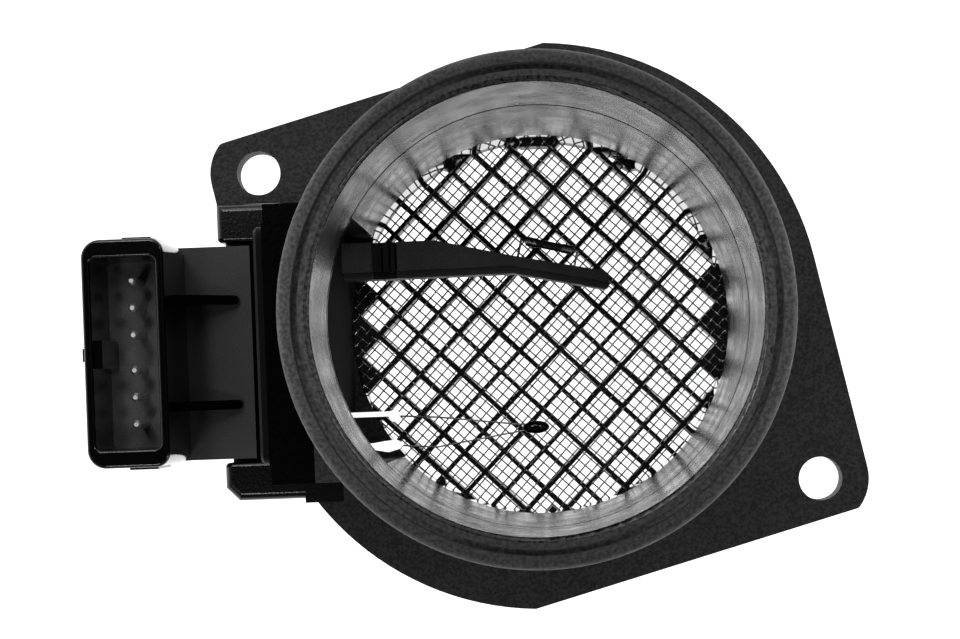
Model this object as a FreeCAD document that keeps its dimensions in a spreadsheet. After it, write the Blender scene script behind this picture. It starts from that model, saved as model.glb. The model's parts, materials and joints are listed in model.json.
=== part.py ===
import FreeCAD, Part
import Sketcher
import math
import os

# Mass airflow sensor: a moulded duct with a bolt flange, a plug-in sensor module on its
# side and a screened inlet. Millimetres. Origin on the bore axis in the flange mounting
# face, +Z along the duct towards the outlet hose end, the connector towards -X.

os.makedirs("parts", exist_ok=True)
doc = FreeCAD.newDocument("mass_airflow_sensor")
sheet = doc.addObject("Spreadsheet::Sheet", "Sizes")


class Size:
    """A number together with the sheet expression that gives it."""

    def __init__(self, value, text):
        self.value = float(value)
        self.text = text

    def __float__(self):
        return self.value

    def __neg__(self):
        return Size(-self.value, "(-%s)" % self.text)

    def __add__(self, other):
        return Size(self.value + float(other), "(%s + %s)" % (self.text, text_of(other)))

    def __radd__(self, other):
        return Size(float(other) + self.value, "(%s + %s)" % (text_of(other), self.text))

    def __sub__(self, other):
        return Size(self.value - float(other), "(%s - %s)" % (self.text, text_of(other)))

    def __rsub__(self, other):
        return Size(float(other) - self.value, "(%s - %s)" % (text_of(other), self.text))

    def __mul__(self, other):
        return Size(self.value * float(other), "(%s * %s)" % (self.text, text_of(other)))

    def __rmul__(self, other):
        return Size(float(other) * self.value, "(%s * %s)" % (text_of(other), self.text))

    def __truediv__(self, other):
        return Size(self.value / float(other), "(%s / %s)" % (self.text, text_of(other)))


def text_of(number):
    """Expression text of a size or of a plain number."""
    if isinstance(number, Size):
        return number.text
    return "(%.6f)" % number


def cosine(angle):
    """Cosine of a size in degrees."""
    return Size(math.cos(math.radians(float(angle))), "cos(%s * 1 deg)" % text_of(angle))


def sine(angle):
    """Sine of a size in degrees."""
    return Size(math.sin(math.radians(float(angle))), "sin(%s * 1 deg)" % text_of(angle))


def arc_cosine(ratio):
    """Angle in degrees whose cosine is the given ratio."""
    degrees = math.degrees(math.acos(float(ratio)))
    return Size(degrees, "(acos(%s) / 1 deg)" % text_of(ratio))


# How far a cut runs out past a face, and how far an added block runs into its neighbour
overrun = 1
overlap = 0.5

used_rows = []
ZERO = Size(0, "0")
CENTRE = (ZERO, ZERO)


def size(alias, value):
    """Write one driving dimension into the sheet and return it."""
    row = len(used_rows) + 1
    used_rows.append(alias)
    sheet.set("A%d" % row, alias)
    sheet.set("B%d" % row, str(value))
    sheet.setAlias("B%d" % row, alias)
    return Size(value, "Sizes." + alias)


# Duct: measuring bore, wall and hose end
bore_radius = size("bore_radius", 34.2)
duct_wall = size("duct_wall", 2.4)
duct_height = size("duct_height", 78)
mouth_step = size("mouth_step", 0.3)
mouth_round = size("mouth_round", 0.7)
lower_bore_step = size("lower_bore_step", 0.3)
lower_bore_height = size("lower_bore_height", 15)
core_line_height = size("core_line_height", 51.5)
core_line_width = size("core_line_width", 1.0)
core_line_depth = size("core_line_depth", 0.25)
lip_reach = size("lip_reach", 2.3)
lip_height = size("lip_height", 4.5)
lip_round = size("lip_round", 1.5)
lip_groove_inset = size("lip_groove_inset", 2.7)
lip_groove_width = size("lip_groove_width", 1.1)
lip_groove_depth = size("lip_groove_depth", 2.6)
lip_notch_angle = size("lip_notch_angle", 11.9)
lip_notch_inset = size("lip_notch_inset", 0.33)
lip_notch_radius = size("lip_notch_radius", 0.75)

# Flange: a disc with two opposite bolt lobes, each joined by one straight and one tangent edge
flange_radius = size("flange_radius", 52.7)
flange_thickness = size("flange_thickness", 5)
bolt_reach = size("bolt_reach", 6.8)
bolt_angle = size("bolt_angle", 149.4)
bolt_hole_radius = size("bolt_hole_radius", 4.05)
lobe_wall = size("lobe_wall", 4.95)
edge_start_angle = size("edge_start_angle", 87.2)
lobe_corner_angle = size("lobe_corner_angle", 140.3)
lobe_corner_radius = size("lobe_corner_radius", 1.5)

# Inlet collar that centres the flange, with the rebate that holds the screens
collar_wall = size("collar_wall", 3.8)
collar_height = size("collar_height", 7)
collar_bevel = size("collar_bevel", 0.6)
seal_section = size("seal_section", 2.4)
seal_groove_depth = size("seal_groove_depth", 1.6)
seal_groove_offset = size("seal_groove_offset", 2.3)
rebate_step = size("rebate_step", 1.2)

# Screens: moulded lattice with a woven wire cloth on its outlet side
cloth_seat_height = size("cloth_seat_height", 4.3)
cloth_wire = size("cloth_wire", 0.24)
cloth_pitch = size("cloth_pitch", 6.26)
cloth_rim = size("cloth_rim", 0.9)
cloth_angle = size("cloth_angle", 47.0)
grid_clearance = size("grid_clearance", 0.1)
grid_rim = size("grid_rim", 0.7)
grid_depth = size("grid_depth", 5.0)
grid_pitch = size("grid_pitch", 5.3)
grid_bar = size("grid_bar", 0.66)
grid_angle = size("grid_angle", 45)
grid_least_cell = size("grid_least_cell", 0.8)
ring_wall = size("ring_wall", 0.8)
ring_height = size("ring_height", 1.8)
ring_bevel = size("ring_bevel", 0.3)

# Module seat on the side of the duct: two wings, a floor and a square sleeve
module_axis = size("module_axis", -3.05)
seat_floor = size("seat_floor", 2)
seat_half_width = size("seat_half_width", 20.1)
wing_width = size("wing_width", 7)
wing_reach = size("wing_reach", 14.5)
wing_height = size("wing_height", 12)
wing_round = size("wing_round", 1.3)
wing_inner_round = size("wing_inner_round", 0.8)
wing_corner = size("wing_corner", 2.4)
wing_step = size("wing_step", 0.8)
sleeve_reach = size("sleeve_reach", 7.2)
sleeve_height = size("sleeve_height", 53.5)
sleeve_wall = size("sleeve_wall", 2.5)
sleeve_sill = size("sleeve_sill", 1.4)
window_rise = size("window_rise", 1.0)

# Module housing: slab, plug, plate and connector shroud
housing_clearance = size("housing_clearance", 0.3)
slab_clearance = size("slab_clearance", 0.7)
slab_thickness = size("slab_thickness", 4)
plug_recess = size("plug_recess", 0.4)
plug_depth = size("plug_depth", 9.9)
plug_wall = size("plug_wall", 2.2)
plate_gap = size("plate_gap", 8.6)
plate_height = size("plate_height", 12)
connector_gap = size("connector_gap", 11.9)
shroud_width = size("shroud_width", 14.2)
shroud_half_width = size("shroud_half_width", 19.75)
shroud_height = size("shroud_height", 32)
shroud_round = size("shroud_round", 3.2)
shroud_inner_round = size("shroud_inner_round", 2.4)
socket_wall = size("socket_wall", 1.5)
socket_end_wall = size("socket_end_wall", 3.2)
socket_depth = size("socket_depth", 14)
socket_round = size("socket_round", 1.0)
shroud_edge_round = size("shroud_edge_round", 0.5)
key_width = size("key_width", 4.9)
key_height = size("key_height", 1.5)
key_drop = size("key_drop", 1)
latch_width = size("latch_width", 2.3)
latch_height = size("latch_height", 0.9)
latch_length = size("latch_length", 4)
latch_drop = size("latch_drop", 3)
end_rib_width = size("end_rib_width", 5)
end_rib_height = size("end_rib_height", 0.45)
end_rib_shift = size("end_rib_shift", 2)
core_depth = size("core_depth", 11)
core_web = size("core_web", 3.6)
brace_offset = size("brace_offset", 9.5)
brace_width = size("brace_width", 1.7)
brace_round = size("brace_round", 0.75)
brace_gap = size("brace_gap", 2.1)
brace_height = size("brace_height", 10)
brace_foot = size("brace_foot", 1)

# Seal round the plug and lid over the electronics
gasket_inset = size("gasket_inset", 4.4)
gasket_width = size("gasket_width", 1.6)
gasket_depth = size("gasket_depth", 1.0)
lid_thickness = size("lid_thickness", 1.5)
lid_margin = size("lid_margin", 0.4)
lid_round = size("lid_round", 2)
lid_bevel = size("lid_bevel", 0.5)

# Contacts: round pins in the socket, flat strips to the circuit board
contact_count = 6
contact_inset = size("contact_inset", 6.85)
contact_pitch = size("contact_pitch", 4.75)
contact_middle_gap = size("contact_middle_gap", 6.2)
contact_row_shift = size("contact_row_shift", 0.25)
contact_radius = size("contact_radius", 0.75)
contact_drop = size("contact_drop", 6)
contact_bevel = size("contact_bevel", 0.35)
strip_width = size("strip_width", 1.5)
strip_thickness = size("strip_thickness", 0.8)
strip_rise = size("strip_rise", 2.0)
strip_gap = size("strip_gap", 1.4)
strip_tab_rise = size("strip_tab_rise", 3.6)

# Circuit board and what stands on it
board_inset = size("board_inset", 4.3)
board_thickness = size("board_thickness", 1.0)
board_margin = size("board_margin", 1.0)
chip_side = size("chip_side", 8)
chip_thickness = size("chip_thickness", 1.4)
chip_rise = size("chip_rise", 7.7)
chip_shift = size("chip_shift", -4.95)
capacitor_length = size("capacitor_length", 3.2)
capacitor_width = size("capacitor_width", 1.6)
capacitor_shift = size("capacitor_shift", 8.05)
capacitor_spacing = size("capacitor_spacing", 4)
case_bevel = size("case_bevel", 0.3)

# Sensor arm that reaches over the bore axis
arm_bottom = size("arm_bottom", 14)
arm_base_height = size("arm_base_height", 5)
arm_cover_height = size("arm_cover_height", 2.5)
arm_margin = size("arm_margin", 1.75)
arm_width = size("arm_width", 6.5)
arm_ledge = size("arm_ledge", 1.2)
arm_shoulder_run = size("arm_shoulder_run", 16.6)
arm_knee_run = size("arm_knee_run", 13.7)
arm_knee_drop = size("arm_knee_drop", 3.2)
arm_knee_rise = size("arm_knee_rise", 0.3)
arm_tip_run = size("arm_tip_run", 17.2)
arm_tip_drop = size("arm_tip_drop", 3.1)
arm_tip_width = size("arm_tip_width", 3.3)
arm_tip_round = size("arm_tip_round", 0.9)
arm_tail = size("arm_tail", 2.6)
arm_tail_margin = size("arm_tail_margin", 0.6)
arm_band_run = size("arm_band_run", 7.75)
arm_band_width = size("arm_band_width", 4.1)
arm_band_depth = size("arm_band_depth", 1.2)
arm_pad_run = size("arm_pad_run", 5.5)
arm_pad_length = size("arm_pad_length", 5)
arm_pad_height = size("arm_pad_height", 0.25)
conductor_inset = size("conductor_inset", 1.5)
conductor_width = size("conductor_width", 0.6)
conductor_thickness = size("conductor_thickness", 0.4)
conductor_spacing = size("conductor_spacing", 0.9)
conductor_run = size("conductor_run", 10.8)

# Heated element on two leads beside the arm
element_run = size("element_run", 6.6)
element_inset = size("element_inset", 1.6)
element_rise = size("element_rise", 1.2)
element_turn = size("element_turn", -13.4)
element_radius = size("element_radius", 0.75)
element_length = size("element_length", 4.6)
cap_radius = size("cap_radius", 0.85)
cap_length = size("cap_length", 1.9)
element_lead_radius = size("element_lead_radius", 0.22)
element_lead_reach = size("element_lead_reach", 0.9)
element_lead_drop = size("element_lead_drop", 3.2)

# Air temperature bead hung from two posts
bead_x = size("bead_x", -1.2)
bead_drop = size("bead_drop", 3.3)
bead_height = size("bead_height", 21)
bead_length = size("bead_length", 4.7)
bead_radius = size("bead_radius", 1.15)
bead_lead_radius = size("bead_lead_radius", 0.16)
bead_lead_spacing = size("bead_lead_spacing", 0.9)
bead_lead_sink = size("bead_lead_sink", 0.6)
bead_lead_bow = size("bead_lead_bow", 0.5)
upper_post_margin = size("upper_post_margin", 7.95)
upper_post_length = size("upper_post_length", 8.3)
upper_post_radius = size("upper_post_radius", 0.45)
upper_post_ball = size("upper_post_ball", 1.05)
upper_post_sag = size("upper_post_sag", 0.4)
lower_post_margin = size("lower_post_margin", 2.25)
lower_post_length = size("lower_post_length", 9.9)
lower_post_radius = size("lower_post_radius", 0.55)
leaf_length = size("leaf_length", 5.6)
leaf_half_width = size("leaf_half_width", 1.1)

doc.recompute()

# Radii worked out from the bore outwards
duct_radius = bore_radius + duct_wall
mouth_radius = bore_radius - mouth_step
lower_bore_radius = bore_radius + lower_bore_step
lip_radius = duct_radius + lip_reach
lip_groove_radius = lip_radius - lip_groove_inset
rebate_radius = lower_bore_radius + rebate_step
collar_radius = rebate_radius + collar_wall
seal_groove_radius = collar_radius - seal_groove_depth
grid_radius = rebate_radius - grid_clearance
grid_opening_radius = grid_radius - grid_rim
ring_inner_radius = rebate_radius - ring_wall
bolt_circle_radius = flange_radius + bolt_reach
lobe_radius = bolt_hole_radius + lobe_wall

# Heights of the screens
grid_top = cloth_seat_height - cloth_wire * 2
grid_bottom = grid_top - grid_depth

# Module seat, from the duct wall outwards and from the module's middle to either side
inside_bore_x = -bore_radius * 0.6
sleeve_end = -duct_radius - sleeve_reach
sleeve_floor_end = -duct_radius - sleeve_sill
sleeve_ceiling = sleeve_height - sleeve_wall
wing_end = sleeve_end - wing_reach
seat_top_y = module_axis + seat_half_width
seat_bottom_y = module_axis - seat_half_width
wing_top_y = seat_top_y + wing_width
wing_bottom_y = seat_bottom_y - wing_width
slab_top = seat_floor + slab_thickness
window_bottom = slab_top + window_rise

# Module housing in its seat
slab_end = sleeve_floor_end - housing_clearance
slab_half_width = seat_half_width - slab_clearance
plug_face = -bore_radius - plug_recess
plug_back = plug_face - plug_depth
plug_half_width = seat_half_width - housing_clearance
plug_top = sleeve_ceiling - housing_clearance
plug_bottom = window_bottom + housing_clearance
plate_end = sleeve_end - plate_gap
brace_end = plate_end - brace_gap
shroud_right = plate_end - connector_gap
shroud_left = shroud_right - shroud_width
plate_start = shroud_right - shroud_inner_round
socket_floor = shroud_height - socket_depth
socket_half_width = shroud_half_width - socket_end_wall
core_top = seat_floor + core_depth
gasket_front = sleeve_end + gasket_inset

# Electronics room and what is in it
chamber_half_width = plug_half_width - plug_wall
chamber_bottom = slab_top + housing_clearance
chamber_top = plug_top - plug_wall
chamber_front = plug_face - arm_tail
board_face = plug_back + board_inset
chip_height = chamber_bottom + chip_rise
contact_x = shroud_right - contact_inset
strip_bottom = seat_floor + strip_rise
strip_tab_height = slab_top + strip_tab_rise

# Sensor arm, its element and the bead
arm_joint = arm_bottom + arm_base_height
arm_top = arm_joint + arm_cover_height
arm_upper_y = seat_top_y - arm_margin
arm_lower_y = arm_upper_y - arm_width
arm_shoulder_x = plug_face + arm_shoulder_run
arm_knee_x = arm_shoulder_x + arm_knee_run
arm_tip_x = arm_knee_x + arm_tip_run
arm_band_x = plug_face + arm_band_run
arm_pad_x = arm_shoulder_x + arm_pad_run
element_x = arm_knee_x + element_run
element_y = arm_upper_y - element_inset
element_height = arm_joint + element_rise
upper_post_y = seat_bottom_y + upper_post_margin
lower_post_y = seat_bottom_y + lower_post_margin
upper_post_end = plug_face + upper_post_length
lower_post_end = plug_face + lower_post_length
bead_y = upper_post_y - bead_drop


def bind(item, path, number):
    """Tie one property of a document object to a size."""
    item.setExpression(path, text_of(number))


def new_body(label):
    """Empty body that becomes one sub-part."""
    body = doc.addObject("PartDesign::Body", label)
    body.Label = label
    return body


def sketch_in(body, role, name, offset=0):
    """Sketch on an origin plane of the body, moved along the plane's normal."""
    plane = [item for item in body.Origin.OriginFeatures if item.Role == role][0]
    sketch = body.newObject("Sketcher::SketchObject", name)
    sketch.AttachmentSupport = [(plane, "")]
    sketch.MapMode = "FlatFace"
    bind(sketch, "AttachmentOffset.Base.z", offset)
    return sketch


def tie(sketch, kind, geometry, position, number, name):
    """Hold one coordinate of a sketch point at a size measured from the origin."""
    index = sketch.addConstraint(
        Sketcher.Constraint(kind, -1, 1, geometry, position, float(number)))
    sketch.renameConstraint(index, name)
    bind(sketch, "Constraints." + name, number)


def hold(sketch, geometry, position, point):
    """Hold a sketch point at two sizes measured from the sketch origin."""
    name = "g%dp%d" % (geometry, position)
    tie(sketch, "DistanceX", geometry, position, point[0], name + "x")
    tie(sketch, "DistanceY", geometry, position, point[1], name + "y")


def vector(point):
    """Sketch point as a vector."""
    return FreeCAD.Vector(float(point[0]), float(point[1]), 0)


def outline(sketch, points):
    """Closed outline of straight lines through the points."""
    first = sketch.GeometryCount
    count = len(points)
    for i in range(count):
        start = vector(points[i])
        end = vector(points[(i + 1) % count])
        sketch.addGeometry(Part.LineSegment(start, end), False)
    for i in range(count):
        following = first + (i + 1) % count
        sketch.addConstraint(Sketcher.Constraint("Coincident", first + i, 2, following, 1))
        hold(sketch, first + i, 1, points[i])


def open_path(sketch, points):
    """Open run of straight lines through the points."""
    for i in range(len(points) - 1):
        sketch.addGeometry(Part.LineSegment(vector(points[i]), vector(points[i + 1])), False)
        hold(sketch, i, 1, points[i])
        if i > 0:
            sketch.addConstraint(Sketcher.Constraint("Coincident", i - 1, 2, i, 1))
    hold(sketch, len(points) - 2, 2, points[-1])


def circle(sketch, centre, radius):
    """Circle with its centre and radius bound."""
    index = sketch.GeometryCount
    sketch.addGeometry(Part.Circle(vector(centre), FreeCAD.Vector(0, 0, 1), float(radius)), False)
    hold(sketch, index, 3, centre)
    constraint = sketch.addConstraint(Sketcher.Constraint("Radius", index, float(radius)))
    sketch.renameConstraint(constraint, "r%d" % index)
    bind(sketch, "Constraints.r%d" % index, radius)


def rectangle(sketch, left, right, bottom, top):
    """Rectangle between two abscissas and two ordinates."""
    outline(sketch, [(left, bottom), (right, bottom), (right, top), (left, top)])


def extrude(body, kind, sketch, length, name, backwards=False):
    """Pad or pocket of a sketch."""
    feature = body.newObject("PartDesign::" + kind, name)
    feature.Profile = sketch
    bind(feature, "Length", length)
    feature.Reversed = backwards
    sketch.Visibility = False
    return feature


def revolve(body, kind, sketch, name):
    """Full turn of a sketch about its vertical axis."""
    feature = body.newObject("PartDesign::" + kind, name)
    feature.Profile = sketch
    feature.ReferenceAxis = (sketch, ["V_Axis"])
    feature.Angle = 360
    return feature


def block(body, kind, name, corner, opposite):
    """Box between two corners, added to or cut from the body."""
    box = body.newObject("PartDesign::%sBox" % kind, name)
    for axis, side, low, high in zip("xyz", ("Length", "Width", "Height"), corner, opposite):
        bind(box, side, high - low)
        bind(box, "Placement.Base." + axis, low)
    return box


def rod(body, kind, name, base, radius, height):
    """Upright cylinder, added to or cut from the body."""
    cylinder = body.newObject("PartDesign::%sCylinder" % kind, name)
    bind(cylinder, "Radius", radius)
    bind(cylinder, "Height", height)
    for axis, number in zip("xyz", base):
        bind(cylinder, "Placement.Base." + axis, number)
    return cylinder


def edges_where(feature, wanted):
    """Names of the edges of a feature that pass a test."""
    doc.recompute()
    found = []
    for index, edge in enumerate(feature.Shape.Edges):
        if wanted(edge):
            found.append("Edge%d" % (index + 1))
    return found


def dress(body, kind, name, feature, wanted, reach):
    """Fillet or chamfer on the edges that pass a test."""
    found = edges_where(feature, wanted)
    result = body.newObject("PartDesign::" + kind, name)
    result.Base = (feature, found)
    bind(result, "Radius" if kind == "Fillet" else "Size", reach)
    return result


def is_upright(edge):
    """True for a straight edge parallel to the duct axis."""
    if edge.Curve.TypeId != "Part::GeomLine":
        return False
    box = edge.BoundBox
    return box.ZLength > 0.1 and box.XLength < 0.01 and box.YLength < 0.01


def near(value, target):
    """True when a coordinate lies on the wanted one."""
    return abs(value - float(target)) < 0.02


def duct_profile():
    """Half section of duct, hose lip and inlet collar, as radius and height."""
    groove_in = lip_groove_radius - lip_groove_width / 2
    groove_out = lip_groove_radius + lip_groove_width / 2
    groove_floor = duct_height - lip_groove_depth
    lip_under = duct_height - lip_height
    lip_slope = lip_radius - duct_radius
    core_top = core_line_height + core_line_width
    seal_top = -seal_groove_offset
    seal_bottom = seal_top - seal_section
    return [
        (rebate_radius, -collar_height),
        (rebate_radius, cloth_seat_height),
        (lower_bore_radius, cloth_seat_height),
        (lower_bore_radius, lower_bore_height),
        (bore_radius, lower_bore_height),
        (bore_radius, core_line_height),
        (bore_radius + core_line_depth, core_line_height),
        (bore_radius + core_line_depth, core_top),
        (bore_radius, core_top),
        (mouth_radius, duct_height),
        (groove_in, duct_height),
        (groove_in, groove_floor),
        (groove_out, groove_floor),
        (groove_out, duct_height),
        (lip_radius, duct_height),
        (lip_radius, lip_under),
        (duct_radius, lip_under - lip_slope),
        (duct_radius, ZERO),
        (collar_radius, ZERO),
        (collar_radius, seal_top),
        (seal_groove_radius, seal_top),
        (seal_groove_radius, seal_bottom),
        (collar_radius, seal_bottom),
        (collar_radius, collar_bevel - collar_height),
        (collar_radius - collar_bevel, -collar_height),
    ]


def polar(radius, angle):
    """Point at a radius and an angle in degrees."""
    return (radius * cosine(angle), radius * sine(angle))


def polar_about(centre, radius, angle):
    """Point at a radius and an angle in degrees round a centre."""
    step = polar(radius, angle)
    return (centre[0] + step[0], centre[1] + step[1])


def arc_between(sketch, centre, radius, start, end, name):
    """Arc from one point to another round a held centre."""
    first = math.atan2(float(start[1] - centre[1]), float(start[0] - centre[0]))
    last = math.atan2(float(end[1] - centre[1]), float(end[0] - centre[0]))
    if last < first:
        last += 2 * math.pi
    full = Part.Circle(vector(centre), FreeCAD.Vector(0, 0, 1), float(radius))
    index = sketch.GeometryCount
    sketch.addGeometry(Part.ArcOfCircle(full, first, last), False)
    hold(sketch, index, 3, centre)
    constraint = sketch.addConstraint(Sketcher.Constraint("Radius", index, float(radius)))
    sketch.renameConstraint(constraint, name)
    bind(sketch, "Constraints." + name, radius)
    return index


def half_turn(point):
    """The same point turned half a turn about the bore axis."""
    return (-point[0], -point[1])


def flange_outline(sketch):
    """Disc arc, straight edge, lobe arc and tangent side; then the same half a turn on."""
    hole = polar(bolt_circle_radius, bolt_angle)
    edge_start = polar(flange_radius, edge_start_angle)
    edge_end = polar_about(hole, lobe_radius, lobe_corner_angle)
    # the side is tangent to the lobe arc and to the disc
    side_angle = bolt_angle + arc_cosine((flange_radius - lobe_radius) / bolt_circle_radius)
    lobe_end = polar_about(hole, lobe_radius, side_angle)
    side_end = polar(flange_radius, side_angle)
    pieces = []
    for turn, mark in ((lambda p: p, "a"), (half_turn, "b")):
        disc_start = half_turn(turn(side_end))
        pieces.append(arc_between(
            sketch, CENTRE, flange_radius, disc_start, turn(edge_start), "disc" + mark))
        pieces.append(sketch.GeometryCount)
        sketch.addGeometry(
            Part.LineSegment(vector(turn(edge_start)), vector(turn(edge_end))), False)
        pieces.append(arc_between(
            sketch, turn(hole), lobe_radius, turn(edge_end), turn(lobe_end), "lobe" + mark))
        pieces.append(sketch.GeometryCount)
        sketch.addGeometry(
            Part.LineSegment(vector(turn(lobe_end)), vector(turn(side_end))), False)
    for i, piece in enumerate(pieces):
        following = pieces[(i + 1) % len(pieces)]
        sketch.addConstraint(Sketcher.Constraint("Coincident", piece, 2, following, 1))
    for start, turn in ((0, lambda p: p), (4, half_turn)):
        tie(sketch, "DistanceX", pieces[start], 2, turn(edge_start)[0], "edge%d" % start)
        tie(sketch, "DistanceY", pieces[start + 2], 1, turn(edge_end)[1], "corner%d" % start)
        tie(sketch, "DistanceY", pieces[start + 2], 2, turn(lobe_end)[1], "lobe%d" % start)
        tie(sketch, "DistanceY", pieces[start + 3], 2, turn(side_end)[1], "side%d" % start)
    return edge_end


def make_duct_body():
    """Duct, flange, inlet collar and module seat, one moulding."""
    body = new_body("duct_body")
    flange_sketch = sketch_in(body, "XY_Plane", "flange_sketch")
    edge_end = flange_outline(flange_sketch)
    flange = extrude(body, "Pad", flange_sketch, flange_thickness, "flange")

    def is_lobe_corner(edge):
        spot = edge.BoundBox.Center
        beside = near(abs(spot.x), -edge_end[0]) and near(abs(spot.y), edge_end[1])
        return is_upright(edge) and beside

    dress(body, "Fillet", "lobe_corners", flange, is_lobe_corner, lobe_corner_radius)

    # two wings that flank the module, with bevelled outer corners
    wing_sketch = sketch_in(body, "XY_Plane", "wing_sketch")
    outline(wing_sketch, [
        (wing_end + wing_corner, wing_bottom_y),
        (sleeve_end, wing_bottom_y),
        (sleeve_end, wing_bottom_y - wing_step),
        (inside_bore_x, wing_bottom_y - wing_step),
        (inside_bore_x, wing_top_y),
        (wing_end, wing_top_y),
        (wing_end, wing_bottom_y + wing_corner),
    ])
    wings = extrude(body, "Pad", wing_sketch, wing_height, "wings")

    # square sleeve that takes the module plug
    block(body, "Additive", "sleeve",
          (sleeve_end, seat_bottom_y - sleeve_wall, seat_floor),
          (inside_bore_x, seat_top_y + sleeve_wall, sleeve_height))
    rod(body, "Subtractive", "bore_clearing",
        (0, 0, -collar_height), duct_radius - duct_wall / 4, duct_height + collar_height)

    duct_sketch = sketch_in(body, "XZ_Plane", "duct_sketch")
    outline(duct_sketch, duct_profile())
    duct = revolve(body, "Revolution", duct_sketch, "duct")

    def is_ring_at(radius):
        def test(edge):
            box = edge.BoundBox
            on_top = near(box.ZMin, duct_height) and near(box.ZMax, duct_height)
            return on_top and near(box.XMax, radius)
        return test

    mouth = dress(body, "Fillet", "mouth_edge", duct, is_ring_at(mouth_radius), mouth_round)
    dress(body, "Fillet", "lip_edge", mouth, is_ring_at(lip_radius), lip_round)

    # room between the wings and the window through the duct wall
    block(body, "Subtractive", "seat_room",
          (shroud_left - overrun, seat_bottom_y, seat_floor),
          (sleeve_floor_end, seat_top_y, sleeve_ceiling))
    window = block(body, "Subtractive", "window",
                   (sleeve_floor_end - overlap, seat_bottom_y, window_bottom),
                   (inside_bore_x, seat_top_y, sleeve_ceiling))

    def is_wing_rim(edge):
        box = edge.BoundBox
        on_top = near(box.ZMin, wing_height) and near(box.ZMax, wing_height)
        upper_side = near(box.YMin, wing_top_y) and near(box.YMax, wing_top_y)
        lower_side = near(box.YMin, wing_bottom_y) and near(box.YMax, wing_bottom_y)
        outer_end = near(box.XMin, wing_end) and box.XMax < float(wing_end + wing_corner + overlap)
        return on_top and (upper_side or lower_side or outer_end)

    def is_inner_wing_edge(edge):
        box = edge.BoundBox
        on_top = near(box.ZMin, wing_height) and near(box.ZMax, wing_height)
        beside_seat = near(box.YMin, seat_top_y) or near(box.YMin, seat_bottom_y)
        return on_top and beside_seat and box.YLength < 0.01

    rims = dress(body, "Fillet", "wing_rims", window, is_wing_rim, wing_round)
    dress(body, "Fillet", "inner_wing_edges", rims, is_inner_wing_edge, wing_inner_round)

    bolt_sketch = sketch_in(body, "XY_Plane", "bolt_sketch", flange_thickness)
    circle(bolt_sketch, polar(bolt_circle_radius, bolt_angle), bolt_hole_radius)
    bolt_hole = extrude(body, "Pocket", bolt_sketch, flange_thickness, "bolt_hole")
    bolt_hole.Type = 1
    pattern = body.newObject("PartDesign::PolarPattern", "bolt_holes")
    pattern.Originals = [bolt_hole]
    pattern.Axis = (bolt_sketch, ["N_Axis"])
    pattern.Angle = 360
    pattern.Occurrences = 2
    body.Tip = pattern
    return body


def cut_lip_notches(body):
    """Four small round notches in the hose lip, two either side."""
    x, y = polar(lip_groove_radius - lip_notch_inset, lip_notch_angle)
    for number, (side_x, side_y) in enumerate(((1, 1), (1, -1), (-1, 1), (-1, -1))):
        rod(body, "Subtractive", "lip_notch_%d" % (number + 1),
            (x * side_x, y * side_y, duct_height - lip_groove_depth),
            lip_notch_radius, lip_groove_depth + overrun)


def value_of(alias):
    """Number in the sheet cell with this alias."""
    return float(sheet.getPropertyByName(alias))


def own_shape(label, shape):
    """Document object whose shape is built from numbers read off the sheet."""
    item = doc.addObject("Part::Feature", label)
    item.Label = label
    item.Shape = shape
    return item


def turned_square(x, y, half, angle, bottom, depth):
    """Upright square prism with its centre in a lattice turned about the bore axis."""
    corners = []
    for side_x, side_y in ((-1, -1), (1, -1), (1, 1), (-1, 1), (-1, -1)):
        corners.append(FreeCAD.Vector(x + side_x * half, y + side_y * half, bottom))
    face = Part.Face(Part.makePolygon(corners))
    face.rotate(FreeCAD.Vector(0, 0, 0), FreeCAD.Vector(0, 0, 1), angle)
    return face.extrude(FreeCAD.Vector(0, 0, depth))


def make_flow_grid():
    """Moulded lattice; edge cells too small to mould are left solid."""
    pitch = value_of("grid_pitch")
    half = (pitch - value_of("grid_bar")) / 2
    opening_radius = float(grid_opening_radius)
    least = value_of("grid_least_cell")
    angle = value_of("grid_angle")
    depth = value_of("grid_depth")
    bottom = float(grid_bottom)
    opening = Part.makeCylinder(opening_radius, depth, FreeCAD.Vector(0, 0, bottom))
    reach = int(opening_radius / pitch) + 1
    full_volume = (2 * half) ** 2 * depth
    cells = []
    for i in range(-reach, reach):
        for j in range(-reach, reach):
            x = (i + 0.5) * pitch
            y = (j + 0.5) * pitch
            if math.hypot(x, y) - half * math.sqrt(2) > opening_radius:
                continue
            cell = turned_square(x, y, half, angle, bottom, depth)
            if math.hypot(x, y) + half * math.sqrt(2) > opening_radius:
                cell = cell.common(opening)
            if cell.Volume > least * full_volume:
                cells.append(cell)
    disc = Part.makeCylinder(float(grid_radius), depth, FreeCAD.Vector(0, 0, bottom))
    return own_shape("flow_grid", disc.cut(cells))


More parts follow.
